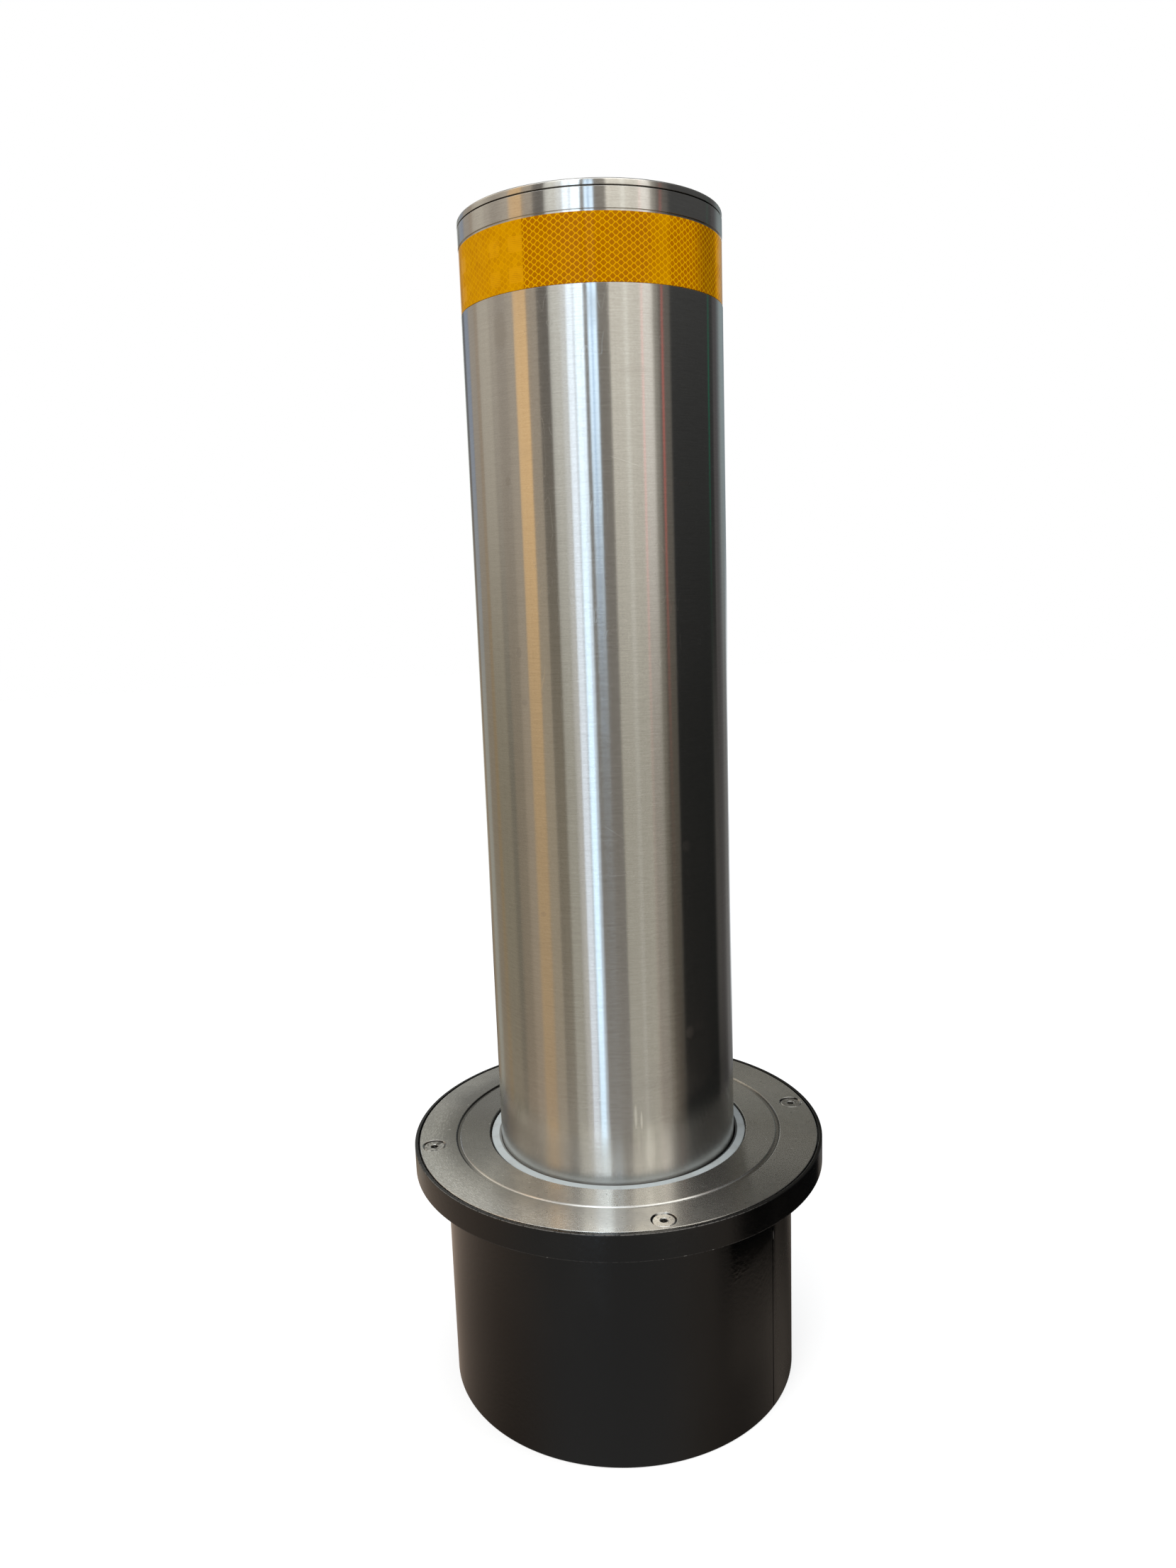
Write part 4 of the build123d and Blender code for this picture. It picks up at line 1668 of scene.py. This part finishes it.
@dataclass
class Studio:
    """The pale floor, soft light, reflected cards and the camera.

    Spans that end in round are bearings and those that end in up are elevations, both in degrees.
    The camera's own numbers are in metres, radians and pixels of the photograph.
    """

    gain: Colour = (1.60, 1.66, 1.74)
    tone_up: Span = (-9.0, 11.0)
    foot_fade: Span = (-6.0, 5.0)
    head_fade: Span = (3.0, -3.0)
    gap_tone: Colour = (0.155, 0.14, 0.12)
    rear_left: Colour = (0.70, 0.70, 0.66)
    rear_left_low: Colour = (0.03, 0.025, 0.02)
    rear_right: Colour = (0.145, 0.165, 0.17)
    rear_right_mid: Colour = (0.88, 0.88, 0.87)
    rear_right_low: Colour = (0.02, 0.019, 0.017)
    back_edge: Colour = (0.40, 0.39, 0.33)
    back_left: Colour = (0.25, 0.24, 0.215)
    back_right: Colour = (0.075, 0.068, 0.056)
    top_tone: Colour = (0.90, 0.89, 0.86)
    top_side: Colour = (0.18, 0.175, 0.16)
    top_dim: Colour = (0.08, 0.077, 0.074)
    ground_front: Colour = (0.225, 0.212, 0.197)
    ground_left: Colour = (0.31, 0.235, 0.18)
    ground_right: Colour = (0.22, 0.18, 0.145)
    shadow_tone: Colour = (0.004, 0.004, 0.004)
    rear_left_round: Span = (-157.0, -169.0)
    rear_left_up: Span = (-19.0, -12.0)
    rear_right_round: Span = (152.0, 166.0)
    rear_right_mid_up: Span = (-25.0, -15.0)
    rear_right_up: Span = (-7.0, 2.0)
    near_up: Span = (-22.5, -28.5)
    high_up: Span = (21.0, 29.0)
    back_round: Span = (138.0, 152.0)
    back_up: Span = (14.0, 20.0)
    top_left_round: Span = (-70.0, -120.0)
    top_right_round: Span = (55.0, 115.0)
    top_up: Span = (36.0, 56.0)
    ground_left_round: Span = (-35.0, -90.0)
    ground_right_round: Span = (10.0, 65.0)
    ground_up: Span = (-27.0, -28.8)
    shadow_round: Span = (58.0, 72.0)
    shadow_end_round: Span = (154.0, 144.0)
    shadow_up: Span = (-34.4, -32.4)
    shadow_end_up: Span = (-20.0, -28.0)
    ambient: Colour = (0.635, 0.64, 0.645)
    floor_radius: float = 9.0
    floor_drop: float = 0.0003
    floor_paint: Colour = (0.82, 0.82, 0.82)
    floor_glow: float = 0.53
    lamp_aim: Triple = (0.0, 0.0, 0.5)
    distance: float = 1.0196
    rise: float = 0.5052
    base: float = 0.232
    yaw: float = -0.01653
    pitch: float = -0.17251
    roll: float = 0.03465
    focal: float = 1621.3
    frame_height: float = 2212.0
    sensor: float = 36.0
    near_limit: float = 0.05
    far_limit: float = 60.0

    def build(self) -> None:
        """Sets up everything round the object."""
        self.world()
        self.floor()
        self.lamps()
        self.camera()
        bpy.context.scene.view_settings.view_transform = "Standard"

    def world(self) -> None:
        """White to the camera, soft and even for lighting, cards and strips for gloss."""
        world = bpy.data.worlds.new("studio")
        bpy.context.scene.world = world
        world.use_nodes = True
        world.cycles.sampling_method = "NONE"
        recipe = Recipe(world.node_tree)
        out = recipe.add("TexCoord").outputs["Generated"]
        turn = (0.0, 0.0, -math.radians(FRONT + 90.0))
        aimed = recipe.add("Mapping", {"vector_type": "POINT"}, {"Vector": out, "Rotation": turn}).outputs[0]
        x, y, z = recipe.axes(aimed)
        bearing = recipe.maths("ARCTAN2", x, -y) * math.degrees(1.0)
        elevation = recipe.maths("ARCSINE", z) * math.degrees(1.0)
        gaze = Gaze(bearing, elevation)
        colour = self.carded(recipe, gaze)
        colour = self.rear(recipe, colour, gaze)
        colour = recipe.scaled(colour, self.brightness(recipe, gaze))
        colour = self.overhead(recipe, colour, gaze)
        colour = self.underfoot(recipe, colour, gaze)
        cards = recipe.stretched(colour, self.gain)
        path = recipe.add("LightPath")
        light = recipe.mix(path.outputs["Is Glossy Ray"], self.ambient, cards)
        seen = Field(recipe, path.outputs["Is Camera Ray"])
        passed = Field(recipe, path.outputs["Is Transmission Ray"])
        shown = recipe.mix(recipe.higher(seen, passed), light, (1.0, 1.0, 1.0))
        background = recipe.add("Background", None, {"Color": shown, "Strength": 1.0})
        recipe.add("OutputWorld", None, {"Surface": background.outputs[0]})
        LOG.info("world with %d cards", len(PANELS))

    def carded(self, recipe: Recipe, gaze: Gaze) -> Any:
        """The cards, each laid over those before it.

        Args:
            recipe: The world's node tree.
            gaze: The direction.

        Returns:
            The cards' colour, with the gaps between them.
        """
        rise = recipe.ramp(gaze.elevation, self.tone_up)
        colour = self.gap_tone
        for panel in PANELS:
            half = (panel.right - panel.left) / 2.0
            mask = recipe.band(gaze.bearing, (panel.right + panel.left) / 2.0, half, panel.edge)
            if panel.lowest > -90.0:
                foot = [panel.lowest + fade for fade in self.foot_fade]
                mask = mask * recipe.smooth(gaze.elevation, *foot)
            if panel.highest < 90.0:
                head = [panel.highest + fade for fade in self.head_fade]
                mask = mask * recipe.smooth(gaze.elevation, *head)
            colour = recipe.mix(mask, colour, recipe.mix(rise, panel.lower, panel.upper))
        return colour

    def rear(self, recipe: Recipe, colour: Any, gaze: Gaze) -> bpy.types.NodeSocket:
        """Lays the tones that the post's outlines mirror over the cards.

        Args:
            recipe: The world's node tree.
            colour: The colour so far.
            gaze: The direction.

        Returns:
            The colour with both rear ends.
        """
        left = recipe.mix(recipe.ramp(gaze.elevation, self.rear_left_up), self.rear_left_low, self.rear_left)
        colour = recipe.mix(recipe.ramp(gaze.bearing, self.rear_left_round), colour, left)
        middle = recipe.ramp(gaze.elevation, self.rear_right_mid_up)
        right = recipe.mix(middle, self.rear_right_low, self.rear_right_mid)
        right = recipe.mix(recipe.ramp(gaze.elevation, self.rear_right_up), right, self.rear_right)
        return recipe.mix(recipe.ramp(gaze.bearing, self.rear_right_round), colour, right)

    def brightness(self, recipe: Recipe, gaze: Gaze) -> Field:
        """How bright the cards are: streaked, and brighter near the cover and above the post.

        Args:
            recipe: The world's node tree.
            gaze: The direction.

        Returns:
            The factor on the cards' colour.
        """
        aside = abs(gaze.bearing)
        front = recipe.smooth(aside, 62.0, 34.0)
        middle = recipe.smooth(aside, 24.0, 14.0) * 0.5
        wide = recipe.smooth(gaze.bearing, -152.0, -120.0) * recipe.smooth(gaze.bearing, 68.0, 52.0)
        near = recipe.ramp(gaze.elevation, self.near_up) * front * 0.95
        high = recipe.ramp(gaze.elevation, self.high_up) * wide * (middle + front * 0.3 + 1.1)
        place = recipe.vector(gaze.bearing * 0.55, gaze.elevation * 0.012, 0.0)
        return (recipe.noise(place, 1.0, 3.0) - 0.5) * 0.34 + 1.0 + near + high

    def overhead(self, recipe: Recipe, colour: Any, gaze: Gaze) -> bpy.types.NodeSocket:
        """Lays the back's upper part and the ceiling over the cards.

        Args:
            recipe: The world's node tree.
            colour: The colour so far.
            gaze: The direction.

        Returns:
            The colour with back and ceiling.
        """
        behind = recipe.ramp(abs(gaze.bearing), self.back_round)
        back = recipe.mix(recipe.smooth(gaze.bearing, -30.0, 30.0), self.back_left, self.back_right)
        back = recipe.mix(recipe.band(gaze.bearing, -158.0, 7.0, 6.0), back, self.back_edge)
        colour = recipe.mix(recipe.ramp(gaze.elevation, self.back_up) * behind, colour, back)
        top = recipe.mix(recipe.ramp(gaze.bearing, self.top_left_round), self.top_tone, self.top_side)
        top = recipe.mix(recipe.ramp(gaze.bearing, self.top_right_round), top, self.top_dim)
        return recipe.mix(recipe.ramp(gaze.elevation, self.top_up), colour, top)

    def underfoot(self, recipe: Recipe, colour: Any, gaze: Gaze) -> bpy.types.NodeSocket:
        """Lays the ground over the cards, darker at the sides and in the shadow at the right.

        Args:
            recipe: The world's node tree.
            colour: The colour so far.
            gaze: The direction.

        Returns:
            The whole surrounding's colour.
        """
        bearing, elevation = gaze.bearing, gaze.elevation
        ground = recipe.mix(recipe.ramp(bearing, self.ground_left_round), self.ground_front, self.ground_left)
        ground = recipe.mix(recipe.ramp(bearing, self.ground_right_round), ground, self.ground_right)
        sunk = recipe.smooth(elevation, -30.0, -35.0) * 0.32 + recipe.smooth(elevation, -35.0, -41.0) * 0.3
        sunk = sunk * recipe.smooth(abs(bearing), 30.0, 90.0) + recipe.smooth(bearing, 128.0, 148.0) * 0.45
        colour = recipe.mix(recipe.ramp(elevation, self.ground_up), colour, recipe.scaled(ground, 1.0 - sunk))
        shadow = recipe.ramp(bearing, self.shadow_round) * recipe.ramp(bearing, self.shadow_end_round)
        shadow = shadow * recipe.ramp(elevation, self.shadow_up) * recipe.ramp(elevation, self.shadow_end_up)
        return recipe.mix(shadow, colour, self.shadow_tone)

    def floor(self) -> None:
        """A pale floor that keeps the object's soft shadow."""
        mesh = bmesh.new()
        bmesh.ops.create_circle(mesh, cap_ends=True, segments=96, radius=self.floor_radius)
        floor = finished(mesh, "pale_floor")
        moved(floor, Matrix.Translation((0.0, 0.0, -self.floor_drop)))
        floor.visible_glossy = False
        material = bpy.data.materials.new("pale_floor_paint")
        material.use_nodes = True
        recipe = Recipe(material.node_tree)
        matt = recipe.add("BsdfDiffuse", None, {"Color": self.floor_paint})
        glow = recipe.add("Emission", None, {"Color": (1.0, 1.0, 1.0), "Strength": self.floor_glow})
        lit = recipe.add("AddShader", None, {0: matt.outputs[0], 1: glow.outputs[0]})
        seen = recipe.add("LightPath").outputs["Is Camera Ray"]
        both = recipe.add("MixShader", None, {0: seen, 1: matt.outputs[0], 2: lit.outputs[0]})
        recipe.add("OutputMaterial", None, {"Surface": both.outputs[0]})
        floor.data.materials.append(material)
        LOG.info("floor laid")

    def lamps(self) -> None:
        """Two large soft lamps that shape the paint, the seal and the tape."""
        for lamp in LAMPS:
            light = bpy.data.lights.new(lamp.name, "AREA")
            light.shape = "DISK"
            light.size = lamp.size
            light.energy = lamp.power
            light.color = lamp.colour
            stand = bpy.data.objects.new(lamp.name, light)
            stand.location = lamp.place
            stand.rotation_mode = "QUATERNION"
            away = Vector(lamp.place) - Vector(self.lamp_aim)
            stand.rotation_quaternion = away.to_track_quat("Z", "Y")
            stand.visible_glossy = False
            bpy.context.scene.collection.objects.link(stand)
            LOG.info("lamp %s", lamp.name)

    def camera(self) -> None:
        """The photograph's viewpoint."""
        yaw, pitch, roll = self.yaw, self.pitch, self.roll
        ahead = Vector((math.sin(yaw) * math.cos(pitch), math.cos(yaw) * math.cos(pitch), math.sin(pitch)))
        side = Vector((math.cos(yaw), -math.sin(yaw), 0.0))
        down = ahead.cross(side)
        right = side * math.cos(roll) + down * math.sin(roll)
        below = down * math.cos(roll) - side * math.sin(roll)
        basis = Matrix((right, -below, -ahead)).transposed().to_4x4()
        turn = Matrix.Rotation(math.radians(FRONT + 90.0), 4, "Z")
        place = Matrix.Translation((0.0, -self.distance, self.base + self.rise))
        data = bpy.data.cameras.new("viewpoint")
        data.sensor_width = self.sensor
        data.lens = self.focal / self.frame_height * self.sensor
        data.clip_start = self.near_limit
        data.clip_end = self.far_limit
        camera = bpy.data.objects.new("viewpoint", data)
        camera.matrix_world = turn @ place @ basis
        bpy.context.scene.collection.objects.link(camera)
        bpy.context.scene.camera = camera
        LOG.info("camera placed")


def main() -> None:
    """Loads the frame, builds every sub-assembly and sets the studio."""
    logging.basicConfig(level=logging.INFO, format="%(name)s: %(message)s")
    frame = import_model()
    nodes = frame["nodes"]
    PostAssembly().build()
    CoverAssembly().build()
    HousingAssembly().build(nodes)
    FootAssembly().build(nodes)
    Studio().build()


if __name__ == "__main__":
    main()
